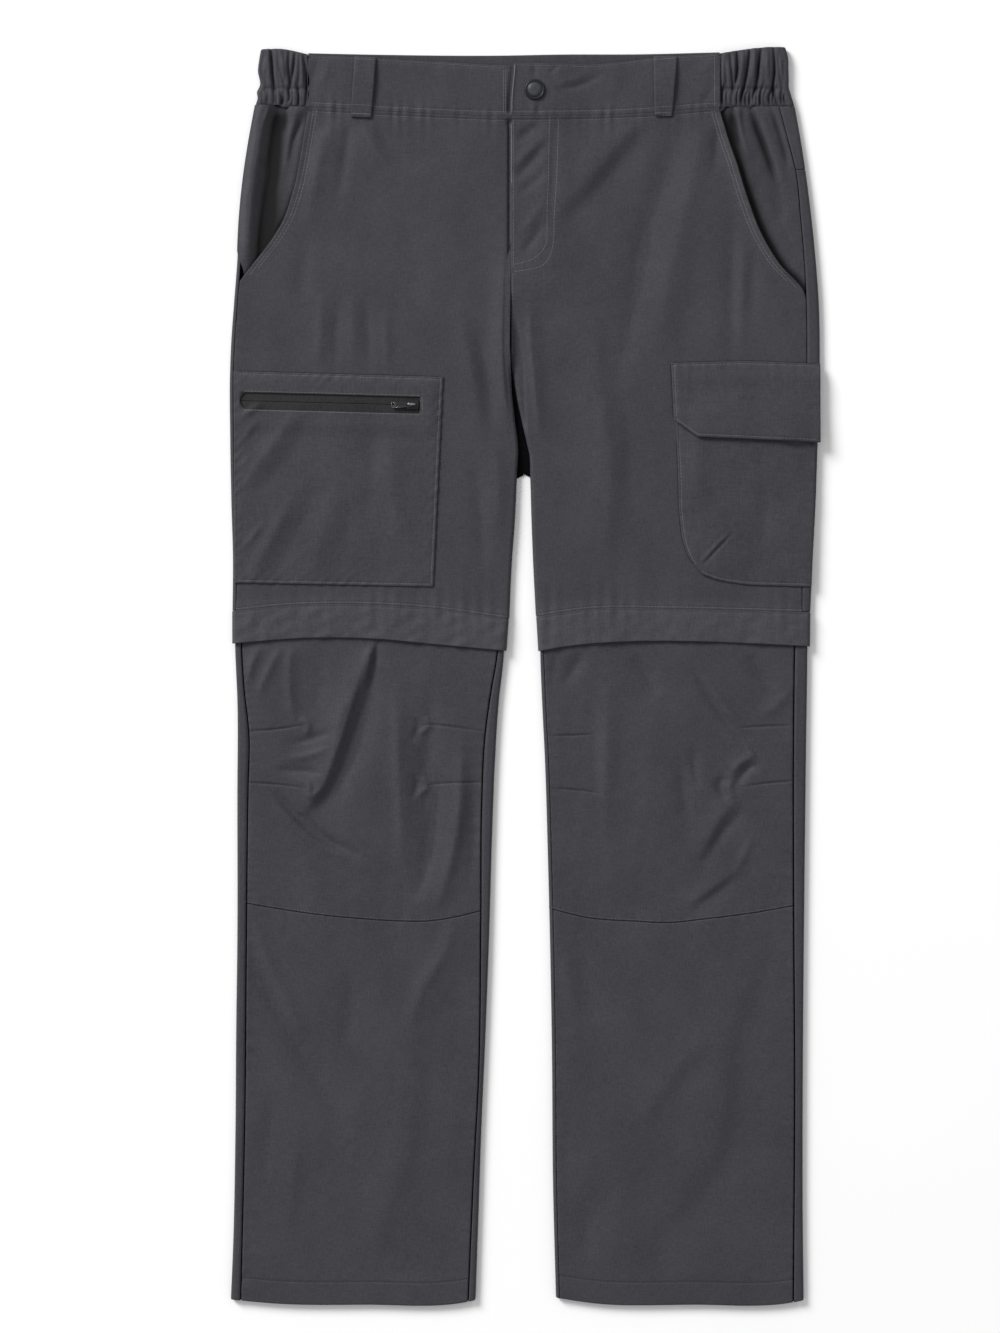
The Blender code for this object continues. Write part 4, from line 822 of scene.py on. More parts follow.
def wrap(name, first, last, left, right, base, top, seams, thick, pitch, seed, lift=None, tall=70.0):
    """A piece round the underside and both sides, open on top between two seams."""
    along = steps(tall, pitch)
    x_left, down_left = rows_of(first, last, left, along)
    x_right = rows_of(first, last, right, along)[0]
    z0 = base(down_left)
    radius = (top - z0) / 2
    runs = []
    if seams[1]:
        runs.append(strip(rows_of(first, last, seams[1], along)[0], x_right - radius, top, 1.0, 2.5))
    runs.append(turned(x_right, z0, top, 1, 1))
    runs.append(strip(x_right - radius, x_left + radius, z0, -1.0, 6.0))
    runs.append(turned(x_left, z0, top, -1, -1))
    if seams[0]:
        runs.append(strip(x_left + radius, rows_of(first, last, seams[0], along)[0], top, 1.0, 2.5))
    return lay_section(name, section(*runs), first, last, along, thick, seed=seed, lift=lift)


wrap("back_yoke", moved(WAIST_SEAM, GAP / 2), moved(YOKE_SEAM, -GAP / 2), EDGE_RIGHT, EDGE_LEFT, level(0.0),
     LOFT,
     (None, moved(SIDE_SEAM_LEFT, GAP / 2)), CLOTH, 3.0, 31)

# %% [markdown]
# The facings lie a layer lower, in the mouths of the two slanted pockets. The gathers of the elastic run
# down into them as a few deep folds.

# %% Pocket facings
FACING_FOLDS = [(height, left, right, seen(*pixels)) for height, left, right, *pixels in (
    (-3.0, 4, 9, (271, 96), (275, 123), (276, 147), (275, 171), (271, 195), (266, 219), (260, 242), (254, 262)),
    (1.6, 3, 5, (273, 106), (265, 114), (255, 123)),
    (1.4, 3, 3, (300, 100), (294, 122), (288, 150), (283, 176)),
    (-2.0, 3, 3, (306, 108), (301, 121), (293, 140), (288, 165)),
    (-1.6, 2.5, 2.5, (286, 100), (286, 118), (284, 134)),
    (-2.6, 3, 3.5, (731.5, 102), (734, 127), (738, 150)),
    (1.5, 3, 3, (738, 104), (742, 130), (748, 156)),
    (-2.8, 3, 4, (749, 100), (756, 125), (765, 148), (777, 184)),
    (1.7, 3.5, 4, (757, 102), (765, 128), (775, 156), (785, 184)),
    (-1.6, 2, 2.5, (743, 105), (742, 120), (746, 140)),
    (-2.0, 2.5, 3, (769, 98), (775, 118), (783, 146), (788, 170)),
    (1.0, 3, 3, (775, 104), (781, 124), (788, 150)),
)]


def facing_folds(x, down):
    total = 0.15 * waves(x, down * 0.5, 14.0, 41) - 0.6 * np.exp(-(((down - WAIST_SEAM(x)) / 3.0) ** 2))
    for height, left, right, points in FACING_FOLDS:
        total = total + fold(x, down, height, left, right, *points)
    return total


def facing_right_height(x, down):
    """It swells beside the edge, dips into the pocket and rises again under the mouth."""
    edge, mouth = x - EDGE_RIGHT(down), MOUTH_RIGHT(down) - x
    roll = (4.2 + 3.4 * ramp(-1, 7, edge)) * (1 - ramp(8, 20, edge))
    inner = 2.3 * ramp(22, 33, edge) * (1 - ramp(112, 165, down))
    z = (2.7 + roll * (1 - 0.55 * ramp(160, 198, down)) + inner - 1.2 * ramp(4, -3, mouth)
         - 1.0 * ramp(180, 196, down))
    foot = 2.2 * np.exp(-(((down - WAIST_SEAM(x)) / 9.0) ** 2)) * ramp(6, 18, edge)
    return np.clip(z + foot + facing_folds(x, down), 1.9, 10.2)


def facing_left_height(x, down):
    """It slopes from the side seam down into the pocket."""
    seam, mouth = SIDE_SEAM_LEFT(down) - x, x - MOUTH_LEFT(down)
    z = 5.8 - 0.7 * ramp(2, 26, seam) - 3.5 * np.exp(-((np.maximum(mouth, 0) / 6.5) ** 2))
    foot = 1.4 * np.exp(-(((down - WAIST_SEAM(x)) / 8.0) ** 2))
    return np.clip(z + foot + facing_folds(x, down), 1.9, 6.4)


def facing_edge(down):
    """The facing follows the edge and draws back under the front panel at the foot of the mouth."""
    return EDGE_RIGHT(down) - 0.4 + 7.0 * ramp(172, 194, down)


# The deep parts of both facings get painted shade, a darker colour below the given height.
level_panel("hip_pocket_right", WAIST_SEAM, level(200.0), facing_edge, moved(MOUTH_RIGHT, 14.0), 1.0,
            facing_right_height, sewn="t", seed=33, thick=0.6, roll=0.0, painted_shade_below=4.7)
level_panel("hip_pocket_left", WAIST_SEAM, level(226.0), moved(MOUTH_LEFT, -14.0),
            moved(SIDE_SEAM_LEFT, -GAP), 1.0,
            facing_left_height, sewn="t", seed=34, thick=0.6, roll=0.3,
            painted_shade_below=5.5)

# %% [markdown]
# The waistband is stiff in front and elastic at both sides. Its left end laps over its right end under the
# snap, and the inside of its back shows above the lower front. The elastic sides are gathered: deep folds
# in the casing, a pinched row, and a finer ruffle below it. They need a grid finer than a millimetre.

# %% Waistband
ELASTIC_RIGHT, ELASTIC_LEFT = -184.0, 165.3
TOP_FRONT_RIGHT = curve((-184, 7.2), (-143, 9.2), (-78, 12.8), (-15, 16.3), (20, 17))
TOP_FRONT_LEFT = curve((-12, 14.6), (31, 15.2), (50, 15.7), (110, 9.9), (166, 5.8))
TOP_BACK = curve((-184, 6.6), (-123, 7.9), (-21, 8.6), (30, 7.7), (97, 7.5), (166, 5.8))
TOP_SIDE_RIGHT = curve((-226, 2.4), (-205, 2.2), (-184, 6.6))
TOP_SIDE_LEFT = curve((165, 5.8), (190, 2.0), (210, 0.4), (222, 0.6))
WAIST_EDGE_RIGHT = curve((0, -223.4), (10, -225.2), (20, -226.4), (33.5, -225.0), (38, -227.2), (43, -226.7),
                         (50, -228.6))
WAIST_EDGE_LEFT = curve((0, 220.6), (8, 222.8), (20, 223.4), (28, 223.6), (34, 223.6), (41, 225.6), (50, 228.4))
BAND_LOW = moved(WAIST_SEAM, -0.03)


def waist_end(down):
    """The left end of the waistband leans a little over the right one."""
    return FLY + 2.6 * (1 - ramp(12, 50, down)) + 0.4


def waist_lift(x, down):
    """The left end of the waistband lies over the right end, under the snap."""
    return (WAIST + GAP) * (1 - ramp(FLY + OVERLAP + 4, FLY + OVERLAP + 40, x))


BAND_FOLDS = [(height, left, right, seen(*pixels)) for height, left, right, *pixels in (
    (-1.0, 3, 3, (554, 91), (575, 87), (590, 81), (602, 74)),
    (0.7, 4, 4, (556, 84), (574, 80), (588, 73)),
    (-0.7, 2, 2, (534, 62), (535, 80)),
    (-0.8, 2.5, 2.5, (549, 74), (560, 65)),
    (0.9, 2.5, 2, (533, 101), (536, 122)),
    (-0.8, 2, 2.5, (539, 104), (537, 122)),
    (-0.8, 3, 4, (319, 55), (312, 80), (309, 104)),
    (0.7, 4, 5, (331, 58), (321, 88)),
    (-0.7, 4, 4, (698, 110), (708, 96), (717, 80)),
    (0.6, 4, 4, (700, 74), (712, 62)),
    (-0.6, 6, 6, (420, 70), (440, 100)),
    (0.6, 7, 7, (620, 66), (610, 100)),
)]


def waist_folds(x, down):
    total = 0.25 * waves(x, down * 0.4, 42.0, 51)
    for height, left, right, points in BAND_FOLDS:
        total = total + fold(x, down, height, left, right, *points)
    low = BAND_LOW(x) - down
    return total + stitched(low, 3.7, 0.4) + ripple(x, 53, 7.0, 0.4) * np.exp(-low / 6.0)


def waist_right_height(x, down):
    darker_ring_centre = 2.6 * np.exp(-(((x - waist_end(down) + 1.6) / 1.5) ** 2)) * (0.4 + 0.6 * ramp(25, 58, down))
    return WAIST_TOP + waist_folds(x, down) - darker_ring_centre


def waist_left_height(x, down):
    edge = 0.8 * np.exp(-((np.maximum(x - waist_end(down), 0) / 1.5) ** 2))
    return WAIST_TOP + waist_lift(x, down) + waist_folds(x, down) + edge


level_panel("waistband_front_right", TOP_FRONT_RIGHT, BAND_LOW, level(ELASTIC_RIGHT), level(FLY + OVERLAP), 1.4,
            waist_right_height, sewn="t", seed=35, thick=WAIST, roll=0.2, rows="t",
            meet=("b", waist_seam_right, 3.5))
level_panel("waistband_front_left", TOP_FRONT_LEFT, BAND_LOW, waist_end, level(ELASTIC_LEFT), 1.2,
            waist_left_height, sewn="t", seed=36, thick=WAIST, roll=0.2, rows="t",
            meet=("b", waist_seam_left, 3.5))
level_panel("waistband_back", moved(TOP_BACK, -1.6), BAND_LOW, level(ELASTIC_RIGHT + GAP / 2),
            level(ELASTIC_LEFT - GAP / 2),
            3.0, lambda x, down: x * 0 + WAIST, sewn="", thick=WAIST - 0.02)

# %% [markdown]
# Elastic pulls the casing into narrow deep folds. They are listed one by one, as the large folds are, and
# the fine ruffle below the pinched row adds its own from a seeded generator.

# %% Gathers of the elastic sides
GATHERS = {
    "right": [(-3.0, 1.0, 1.6, (270.4, 44), (271.6, 62), (272.6, 76), (275.5, 94)),
              (-2.2, 0.9, 1.3, (289.2, 49), (288.2, 66), (289.8, 82), (288.6, 96)),
              (-2.6, 1.0, 1.2, (295.4, 52), (293.0, 70), (291.2, 86)),
              (-1.2, 0.9, 1.1, (299.4, 54), (299.6, 72), (298, 88)),
              (-2.8, 1.0, 1.2, (303.0, 53), (305.4, 72), (306.8, 90), (305.0, 108)),
              (-1.5, 1.2, 1.0, (309.6, 53), (308.0, 66), (307.0, 80)),
              (-1.1, 1.2, 1.4, (277.4, 58), (281.6, 74), (285.2, 90)),
              (-0.8, 1.4, 1.4, (263.6, 70), (266.4, 92)), (1.1, 3.2, 2.4, (280, 46), (282.5, 62), (283.5, 84)),
              (1.2, 3.0, 2.6, (263, 46), (262, 66), (264, 86)),
              (0.9, 1.6, 1.2, (300.8, 56), (302, 72), (302.6, 88))],
    "left": [(-2.6, 1.0, 1.3, (720.8, 50), (720.2, 80), (721.4, 110)),
             (-2.0, 0.9, 1.5, (730.0, 52), (731.6, 72), (734.0, 98)),
             (-2.9, 1.0, 1.4, (736.8, 48), (737.4, 66), (735.4, 86)),
             (-3.0, 1.3, 1.2, (750.4, 46), (747.6, 68), (744.0, 88), (739.6, 102)),
             (-3.2, 1.1, 1.6, (761.4, 46), (758.2, 68), (755.2, 92)),
             (-3.0, 1.0, 1.3, (773.2, 44), (774.4, 68), (773.2, 90), (778.4, 108)),
             (-1.2, 1.0, 1.2, (777.8, 52), (779.4, 70), (782, 90)), (-0.9, 1.1, 1.0, (783.6, 62), (783.2, 88)),
             (-1.0, 1.0, 1.2, (725.2, 60), (726.4, 84), (726.8, 104)),
             (1.3, 3.2, 2.4, (756, 46), (753.4, 66), (750.6, 84)),
             (1.2, 3.4, 2.6, (768, 44), (767, 64), (765.4, 84)),
             (1.1, 2.6, 1.6, (743.6, 48), (742.4, 66), (739.8, 84)),
             (0.9, 1.4, 1.4, (733.2, 52), (734, 66), (733.6, 84))],
}
RUFFLES = {"right": (260.8, 265.6, 268.4, 273.2, 276.0, 280.6, 283.2, 288.4, 291.8, 297.6, 300.8),
           "left": (723.4, 728.6, 732.2, 738.4, 741.8, 747.2, 750.2, 754.6, 757.2, 762, 765.8, 771.4, 775.2,
                    781.4, 785.8)}


def gathered(side):
    """Height of one elastic side over the flat waistband."""
    lean = 1.2 if side == "right" else -1.7
    rng = np.random.default_rng(66)
    folds = [(height, left, right, seen(*pixels)) for height, left, right, *pixels in GATHERS[side]]
    for at in RUFFLES[side]:
        deep, wide, high, low = rng.uniform(0.5, 2.2), rng.uniform(0.6, 1.0), rng.uniform(82,
                                                                                          92), rng.uniform(102, 114)
        bow = lean * rng.uniform(0.0, 1.6)
        folds.append((-deep, wide, wide, seen((at - bow, high), (at + bow, 97),
                                              (at + rng.uniform(-1, 1), low))))

    def height(x, down):
        total = 1.2 * np.exp(-(((down - 17.0) / 13.0) ** 2)) - 0.7 * np.exp(-(((down - 35.5) / 1.5) ** 2))
        total = total + 0.6 * np.exp(-(((down - 42.0) / 4.0) ** 2)) + 0.35 * waves(x, down * 0.4, 6.5, 61)
        for size, left, right, points in folds:
            total = total + fold(x, down, 1.25 * size, left, right, *points)
        return np.clip(total, -4.0, 3.4)

    return height


def elastic(side, first, edge, near, sign):
    """One elastic side: over the front, round the edge and under."""
    along = steps(48.0, 1.0)
    x_edge = rows_of(first, BAND_LOW, edge, along)[0]
    radius = WAIST_TOP / 2
    end = x_edge - sign * radius
    x_near = x_edge * 0 + near
    over = strip(x_near, end, WAIST_TOP, 1.0, 0.7)
    under = strip(end, x_near, 0.0, -1.0, 3.0)
    arc = turned(x_edge, 0.0, WAIST_TOP, sign, 1, 14)
    path = section(over, arc, under)
    if sign < 0:
        path = [part[:, ::-1] for part in path]
    waves_of = gathered(side)

    def lift(x, down):
        foot = blended(waves_of(x, down), -0.9, BAND_LOW(x) + 1.0 - down, 2.4)
        return foot * ramp(-0.4, 0.8, np.abs(x - near)) * ramp(0.0, 4.0, np.abs(x - end))

    def ragged(x):
        return 1.4 + 1.8 * waves(x, x * 0, 11.0, 63, 5)

    # The deepest gathers get painted shade, a darker colour below the given height.
    return lay_section(f"waistband_elastic_{side}", path, first, BAND_LOW, along, 1.3, lift=lift,
                       seed=62,
                       ragged=ragged, painted_shade_below=5.9 if side == "right" else 6.7)


elastic("right", TOP_SIDE_RIGHT, WAIST_EDGE_RIGHT, ELASTIC_RIGHT - 0.03, -1)
elastic("left", TOP_SIDE_LEFT, WAIST_EDGE_LEFT, ELASTIC_LEFT + 0.03, 1)


# %% [markdown]
# A belt loop is a folded strip sewn at both ends. It stands clear of the waistband in the middle, which one
# curved height gives.

# %% Belt loops
def belt_loop(name, top_left, top_right, low_left, low_right):
    """A folded strip over the waistband, a little clear of it in the middle."""
    middle = (top_left[1] + low_left[1]) / 2

    def height(x, down):
        return WAIST_TOP + GAP + CLOTH + 2.0 * np.clip(1 - ((down - middle) / 25.0) ** 2, 0.0, 1.0)

    level_panel(name, straight(top_left, top_right), straight(low_left, low_right),
                straight(top_left[::-1], low_left[::-1]), straight(top_right[::-1], low_right[::-1]), 1.4,
                height,
                sewn="tb", seed=37,
                thick=CLOTH)


belt_loop("belt_loop_right", (-144.3, 8.6), (-126, 9.4), (-147.6, 59.8), (-130, 60.6))
belt_loop("belt_loop_left", (108.8, 8.6), (129, 8.6), (109.7, 59), (124.6, 59))

# %% [markdown]
# The right thigh carries a patch pocket with a zip in a window. The pocket is one sheet whose grid has rows
# and columns along the window's sides, so that the faces inside it can simply be left out. The two tapes
# of the zip lie under the window, and the pocket rides up over them.

# %% Patch pocket
PATCH_TOP = straight((-248, 274.9), (-69, 279.9))
PATCH_LOW = straight((-248, 454.4), (-77, 457.8))
PATCH_LEFT = straight((274, -246.8), (455, -245.9))
PATCH_RIGHT = straight((279, -69.0), (458, -77.5))
WINDOW_LEFT, WINDOW_RIGHT = -241.0, -88.4


def patch_height(x, down):
    """The pocket lies on the thigh and rides up over its zip tapes."""
    over = 1 - ramp(16, 30, np.abs(down - 302.5 - (x + 165) * 0.026))
    over = over * (1 - ramp(-81, -70, x))
    puff = 0.8 * ramp(0, 40, down - 320) * ramp(0, 40, 455 - down) * ramp(0, 40, x + 245) * ramp(0, 40, -78 - x)
    return LOFT + relief(x, down) + GAP + CLOTH + 1.3 * over + puff * (1 + 0.5 * waves(x, down, 60.0, 71))


def patch_pocket():
    columns = [np.array((0.0, 0.5, 1.4, 2.6, 3.6, 4.8)) / 177.0, np.linspace(5.6, 158.2, 78) / 177.0,
               np.array((159.0, 160.0, 161.5, 163.5, 165.5, 167.5, 169.5, 171.5, 173.2, 174.6, 175.8, 176.5,
                         177.0)) / 177.0]
    rows = [steps(18.0, 1.8)[:-1] * 0.1, 0.1 + np.linspace(0, 1, 9) * 0.079,
            0.179 + steps(147.0, 2.0)[1:] * 0.821]
    across, along = np.concatenate(columns), np.concatenate(rows)
    x, down, ends = span(PATCH_TOP, PATCH_LOW, PATCH_LEFT, PATCH_RIGHT, across, along)
    first_row, last_row = len(rows[0]), len(rows[0]) + 8
    first_column, last_column = 6, 6 + 77
    rounded = np.array((4.4, 2.2, 1.0, 0.3, 0.0, 0.3, 1.0, 2.2, 4.4))
    for column in range(first_column, first_column + 4):
        x[first_row:last_row + 1, column] += rounded * (1 - (column - first_column) / 4)
    down = PATCH_TOP(x) * (1 - along[:, None]) + PATCH_LOW(x) * along[:, None]
    z = patch_height(x, down)
    flat = place(x, down, z * 0 + LOFT)
    away = np.minimum(np.minimum(x - ends[0], ends[1] - x),
                      np.minimum(down - PATCH_TOP(x), PATCH_LOW(x) - down))
    z = z + rolled(away, 0.7) + pucker(away, x + down, 72, 0.3) + stitched(away)
    inside = np.zeros(x.shape, bool)
    inside[first_row:last_row + 1, first_column:last_column + 1] = True
    row_away = np.maximum(np.maximum(down[first_row][None, :] - down, down - down[last_row][None, :]), 0)
    column_away = np.maximum(np.maximum(WINDOW_LEFT - x, x - WINDOW_RIGHT), 0)
    z = z + rolled(np.hypot(row_away, column_away), 0.45)
    thing = lay("zip_patch_pocket", place(x, down, z), CLOTH, holes=inside)
    keep = np.ones((len(along) - 1, len(across) - 1), bool)
    keep[first_row:last_row, first_column:last_column] = False
    declare(thing, "zip_patch_pocket", flat, keep=keep)


patch_pocket()

# %% [markdown]
# The two tapes are woven strips that meet at the teeth. They lie on the thigh under the window, so they
# take the height of the thigh and a little more.

# %% Zip tapes of the patch pocket
ZIP_LINE = straight((-244, 300.1), (-84, 304.1))


def tape_height(x, down):
    return LOFT + relief(x, down) + GAP + TAPE


level_panel("pocket_zip_tape_upper", moved(ZIP_LINE, -12.4), moved(ZIP_LINE, -GAP / 2), level(-244.0),
            level(-84.0),
            2.0, tape_height, sewn="", thick=TAPE, roll=0.1)
level_panel("pocket_zip_tape_lower", moved(ZIP_LINE, GAP / 2), moved(ZIP_LINE, 12.4), level(-244.0),
            level(-84.0),
            2.0, tape_height, sewn="", thick=TAPE, roll=0.1)

# %% [markdown]
# The left thigh carries a cargo pocket with a rounded lower corner and a flap with one cut corner. The
# pocket stands a little off the thigh, and the flap starts on the thigh and lies over the pocket's top.

# %% Cargo pocket and its flap
CARGO_LEFT = curve((284, 127.6), (320, 127.9), (359, 129.6), (401, 131.3), (422, 134.7), (436, 141), (446, 149))
CARGO_RIGHT = straight((284, 247.4), (335, 246.5), (459, 242.6))
CARGO_LOW = curve((141, 441), (149, 446.5), (158, 450.4), (182, 455.3), (214, 457.0), (244, 457.8))
FLAP_TOP = curve((123, 268.0), (190, 266.6), (250, 268.9))
FLAP_LOW = straight((126, 316.4), (145.7, 330.8), (250, 335.6))


def cargo_height(x, down):
    rise = ramp(0, 30, down - 284) * ramp(0, 26, 458 - down) * ramp(0, 24, x - 128) * ramp(0, 24, 246 - x)
    return LOFT + relief(x, down) + GAP + CLOTH + rise * (1.2 + 0.35 * waves(x, down, 50.0, 73))


def flap_height(x, down):
    stand = 2.0 * ramp(288, 334, down) + 1.0 * ramp(142, 126, x)
    return cargo_height(x, down) + (CLOTH + GAP) * ramp(268, 282, down) + stand + 0.15 * waves(x, down, 40.0,
                                                                                               74)


level_panel("cargo_pocket_body", level(284.5), CARGO_LOW, CARGO_LEFT, CARGO_RIGHT, 1.1, cargo_height, seed=38,
            roll=0.7, rows="lb")
level_panel("cargo_pocket_flap", FLAP_TOP, FLAP_LOW, straight((268, 123.7), (316, 126.0), (331, 126.0)),
            level(250.0),
            1.8, flap_height, seed=39, roll=0.6, rows="ltb")

# %% [markdown]
# Above each knee a band goes all round the leg and hides the zip by which the lower leg comes off. The
# band is a closed ring, and so are the tapes of the zip inside it.

# %% Knee bands and zips
def band_inner_right(down):
    return np.interp(down, (478, 512), (-13.2, -15.6))


def band_inner_left(down):
    return np.interp(down, (478, 512), (9.2, 11.2))


def band_outer_left(down):
    return np.interp(down, (478, 508), (242.0, 241.6))


def ring(name, first, last, left, right, base, top, thick, seed, tall, lift=None, meet=None):
    """A ring round a flattened leg."""
    along = steps(tall, 2.2)
    x_left = rows_of(first, last, left, along)[0]
    x_right = rows_of(first, last, right, along)[0]
    radius = (top - base) / 2
    path = section(strip(x_left + radius, x_right - radius, top, 1.0, 2.5), turned(x_right, base, top, 1, 1),
                   strip(x_right - radius, x_left + radius, base, -1.0, 5.0), turned(x_left, base, top, -1, -1))
    return lay_section(name, path, first, last, along, thick, closed=True, seed=seed,
                       lift=lift,
                       edge_roll=0.25, meet=meet)


def band_lift(first, last, crumple):
    """Slack of the band: its free lower edge waves a little."""
    def lift(x, down):
        free = (down - first(x)) / (last(x) - first(x))
        sewn = ripple(x, 65, 12.0, 0.6) * np.exp(-free * 2.2) + 1.2 * free * ramp(-225, -246, x)
        slack = 0.5 * free * waves(x, down * 0.5, 46.0, 81) + crumple * waves(x + 0.7 * down, down, 17.0, 82, 5)
        return slack + sewn + 0.9 * free
    return lift


BAND_EDGES = {"right": (level(-248.2), band_inner_right), "left": (band_inner_left, band_outer_left)}
BAND_LINES = {"right": (BAND_TOP_RIGHT, BAND_END_RIGHT), "left": (BAND_TOP_LEFT, BAND_END_LEFT)}
for number, side in enumerate(("right", "left")):
    first, last = BAND_LINES[side]
    left, right = BAND_EDGES[side]
    ring(f"knee_flap_{side}", moved(first, 0.03), last, left, right, 0.0, BAND_LOFT, CLOTH, 83 + number,
         28.0, band_lift(first, last, 0.30 if side == "right" else 0.16), band_seam)
    ring(f"leg_zip_{side}", moved(first, GAP / 2), moved(last, -9.8), moved(left, CLOTH + GAP),
         moved(right, -CLOTH - GAP), TUCK, LEG_TOP, TAPE, 85 + number, 18.0)


# %% [markdown]
# A lower leg has a knee panel, a shin panel and one back panel that comes round both sides. Its top is
# tucked inside the knee band, and its hem is turned up.

# %% Lower legs
def leg_base(down):
    return TUCK * (1 - ramp(508, 526, down))


def leg_height(x, down):
    return LEG_TOP + relief(x, down)


def hem_height(hem):
    """The shin panel with the row that holds its turned-up hem."""
    return lambda x, down: leg_height(x, down) + stitched(hem(x) - down, 19.5, 0.4)


def from_side(line, sign):
    """The panel edge where the back panel ends as the side turns level."""
    return lambda down: line(down) + sign * ((LEG_TOP - leg_base(down)) / 2 + GAP / 2)


def lower_leg(side, band_end, knee, hem, left, right, seam_left, seam_right, seed):
    top = moved(band_end, -9.5)
    line_left = moved(seam_left, GAP / 2 + 0.35) if seam_left else from_side(left, 1)
    line_right = moved(seam_right, -GAP / 2 - 0.35) if seam_right else from_side(right, -1)
    back = f"back_lower_{side}"
    level_panel(f"knee_panel_{side}", top, moved(knee, -GAP / 2), line_left, line_right, 1.5, leg_height,
                seed=seed, fine=((70, 94, 0.7), (116, 143, 0.7)), roll=0.8)
    tall = float(hem((left(900.0) + right(900.0)) / 2) - knee((left(900.0) + right(900.0)) / 2))
    level_panel(f"shin_panel_{side}", moved(knee, GAP / 2), hem, line_left, line_right, 2.1, hem_height(hem),
                sewn="lrt", seed=seed + 1, fine=((tall - 24, tall - 15, 0.6),), roll=0.8)
    wrap(back, top, hem, left, right, leg_base, LEG_TOP,
         (moved(seam_left, -GAP / 2 - 0.25) if seam_left else None,
          moved(seam_right, GAP / 2 + 0.25) if seam_right else None),
         CLOTH, 3.2, seed + 2, lift=relief, tall=565.0)


lower_leg("right", BAND_END_RIGHT, KNEE_RIGHT, HEM_RIGHT, LOWER_OUT_RIGHT, LOWER_IN_RIGHT, SEAM_OUT_RIGHT,
          SEAM_IN_RIGHT, 91)
lower_leg("left", BAND_END_LEFT, KNEE_LEFT, HEM_LEFT, LOWER_IN_LEFT, LOWER_OUT_LEFT, None, SEAM_OUT_LEFT, 95)

# %% [markdown]
# Rows of sewing are what makes cloth look sewn. One stitch is a short rounded bar. It is copied along each
# row, and a ray from above finds how high the cloth lies at both of its ends, so every stitch lies on the
# folds. Rows follow the edges and seams a few millimetres off.

# %% Find the cloth from above
from mathutils.bvhtree import BVHTree

bm = bmesh.new()
for piece in pieces.values():
    bm.from_mesh(piece.data)
cloth_tree = BVHTree.FromBMesh(bm)
print("faces of cloth:", len(bm.faces))
bm.free()


def cloth_at(x, down):
    """The highest point of cloth at a place, in metres."""
    spot = place(x, down, 40.0)
    hit = cloth_tree.ray_cast(Vector(spot), Vector((0, 0, -1)))[0]
    return hit if hit is not None else Vector(place(x, down, LOFT))


# %% [markdown]
# A stitch could be painted or made by a particle system. Small bars of their own catch the light as thread
# does, and each is turned to lie along the cloth under it.

# %% One stitch and rows of it
def one_stitch(length, width, height):
    """A short bar along x, rounded on top, one bmesh."""
    bm = bmesh.new()
    bmesh.ops.create_cube(bm, size=1.0)
    bmesh.ops.scale(bm, verts=bm.verts, vec=(length * 0.001, width * 0.001, height * 0.001))
    upper = [e for e in bm.edges if all(v.co.z > 0 for v in e.verts)]
    bmesh.ops.bevel(bm, geom=upper, affect="EDGES", offset=width * 0.0003, segments=1, profile=0.5, material=-1)
    return bm


def along(line, start, end, offset=0.0, pitch=1.5):
    """Points beside a line that gives x for down."""
    down = np.arange(start, end, pitch)
    return np.stack((line(down) + offset, down), axis=1)


def across(line, start, end, offset=0.0, pitch=1.5):
    """Points beside a line that gives down for x."""
    x = np.arange(start, end, pitch)
    return np.stack((x, line(x) + offset), axis=1)


def bars(path, size, start, pitch, proud):
    """Copies of one short bar along a path, each lying on the cloth, as one mesh."""
    path = np.array(path, float)
    walked = np.concatenate(((0.0,), np.cumsum(np.hypot(*np.diff(path, axis=0).T))))
    row = one_stitch(*size)
    model = row.verts[:] + row.edges[:] + row.faces[:]
    starts = np.arange(start, walked[-1] - size[0], pitch)
    for at in starts:
        a, b = [cloth_at(*(np.interp(s, walked, path[:, k]) for k in (0, 1))) for s in (at, at + size[0])]
        run = (b - a).normalized()
        side = Vector((0, 0, 1)).cross(run).normalized()
        up = run.cross(side)
        turn = Matrix((run, side, up)).transposed().to_4x4()
        turn.translation = (a + b) / 2 + up * (proud - size[2] / 2) * 0.001
        copy = bmesh.ops.duplicate(row, geom=model)["geom"]
        bmesh.ops.transform(row, matrix=turn, verts=[g for g in copy if isinstance(g, bmesh.types.BMVert)])
    bmesh.ops.delete(row, geom=[g for g in model if isinstance(g, bmesh.types.BMVert)], context="VERTS")
    part = bpy.data.meshes.new("row")
    row.to_mesh(part)
    row.free()
    return part, len(starts)


def sew(name, *paths, pitch=3.0, size=(1.35, 0.7, 0.5), proud=0.15, holes=1.2, slot="cloth"):
    """Rows of stitches along paths of points (x, down); a short dark bar, the painted shadow of a needle hole, lies
    between each two.
    """
    whole = bmesh.new()
    count = 0
    for path in paths:
        kinds = [(size, 0.3, proud)]
        if holes:
            kinds.append(((holes, 0.6, 0.2), 0.3 + size[0] + (pitch - size[0] - holes) / 2, 0.05))
        for kind, (bar, start, rise) in enumerate(kinds):
            part, number = bars(path, bar, start, pitch, rise)
            for face in part.polygons:
                face.material_index = kind
            whole.from_mesh(part)
            bpy.data.meshes.remove(part)
            count += number * (1 - kind)
    mesh = bpy.data.meshes.new(name)
    whole.to_mesh(mesh)
    whole.free()
    thing = bpy.data.objects.new(name, mesh)
    bpy.context.collection.objects.link(thing)
    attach(thing, "garment")
    pieces[name] = thing
    print(f"{name}: {count} stitches")
    return thing
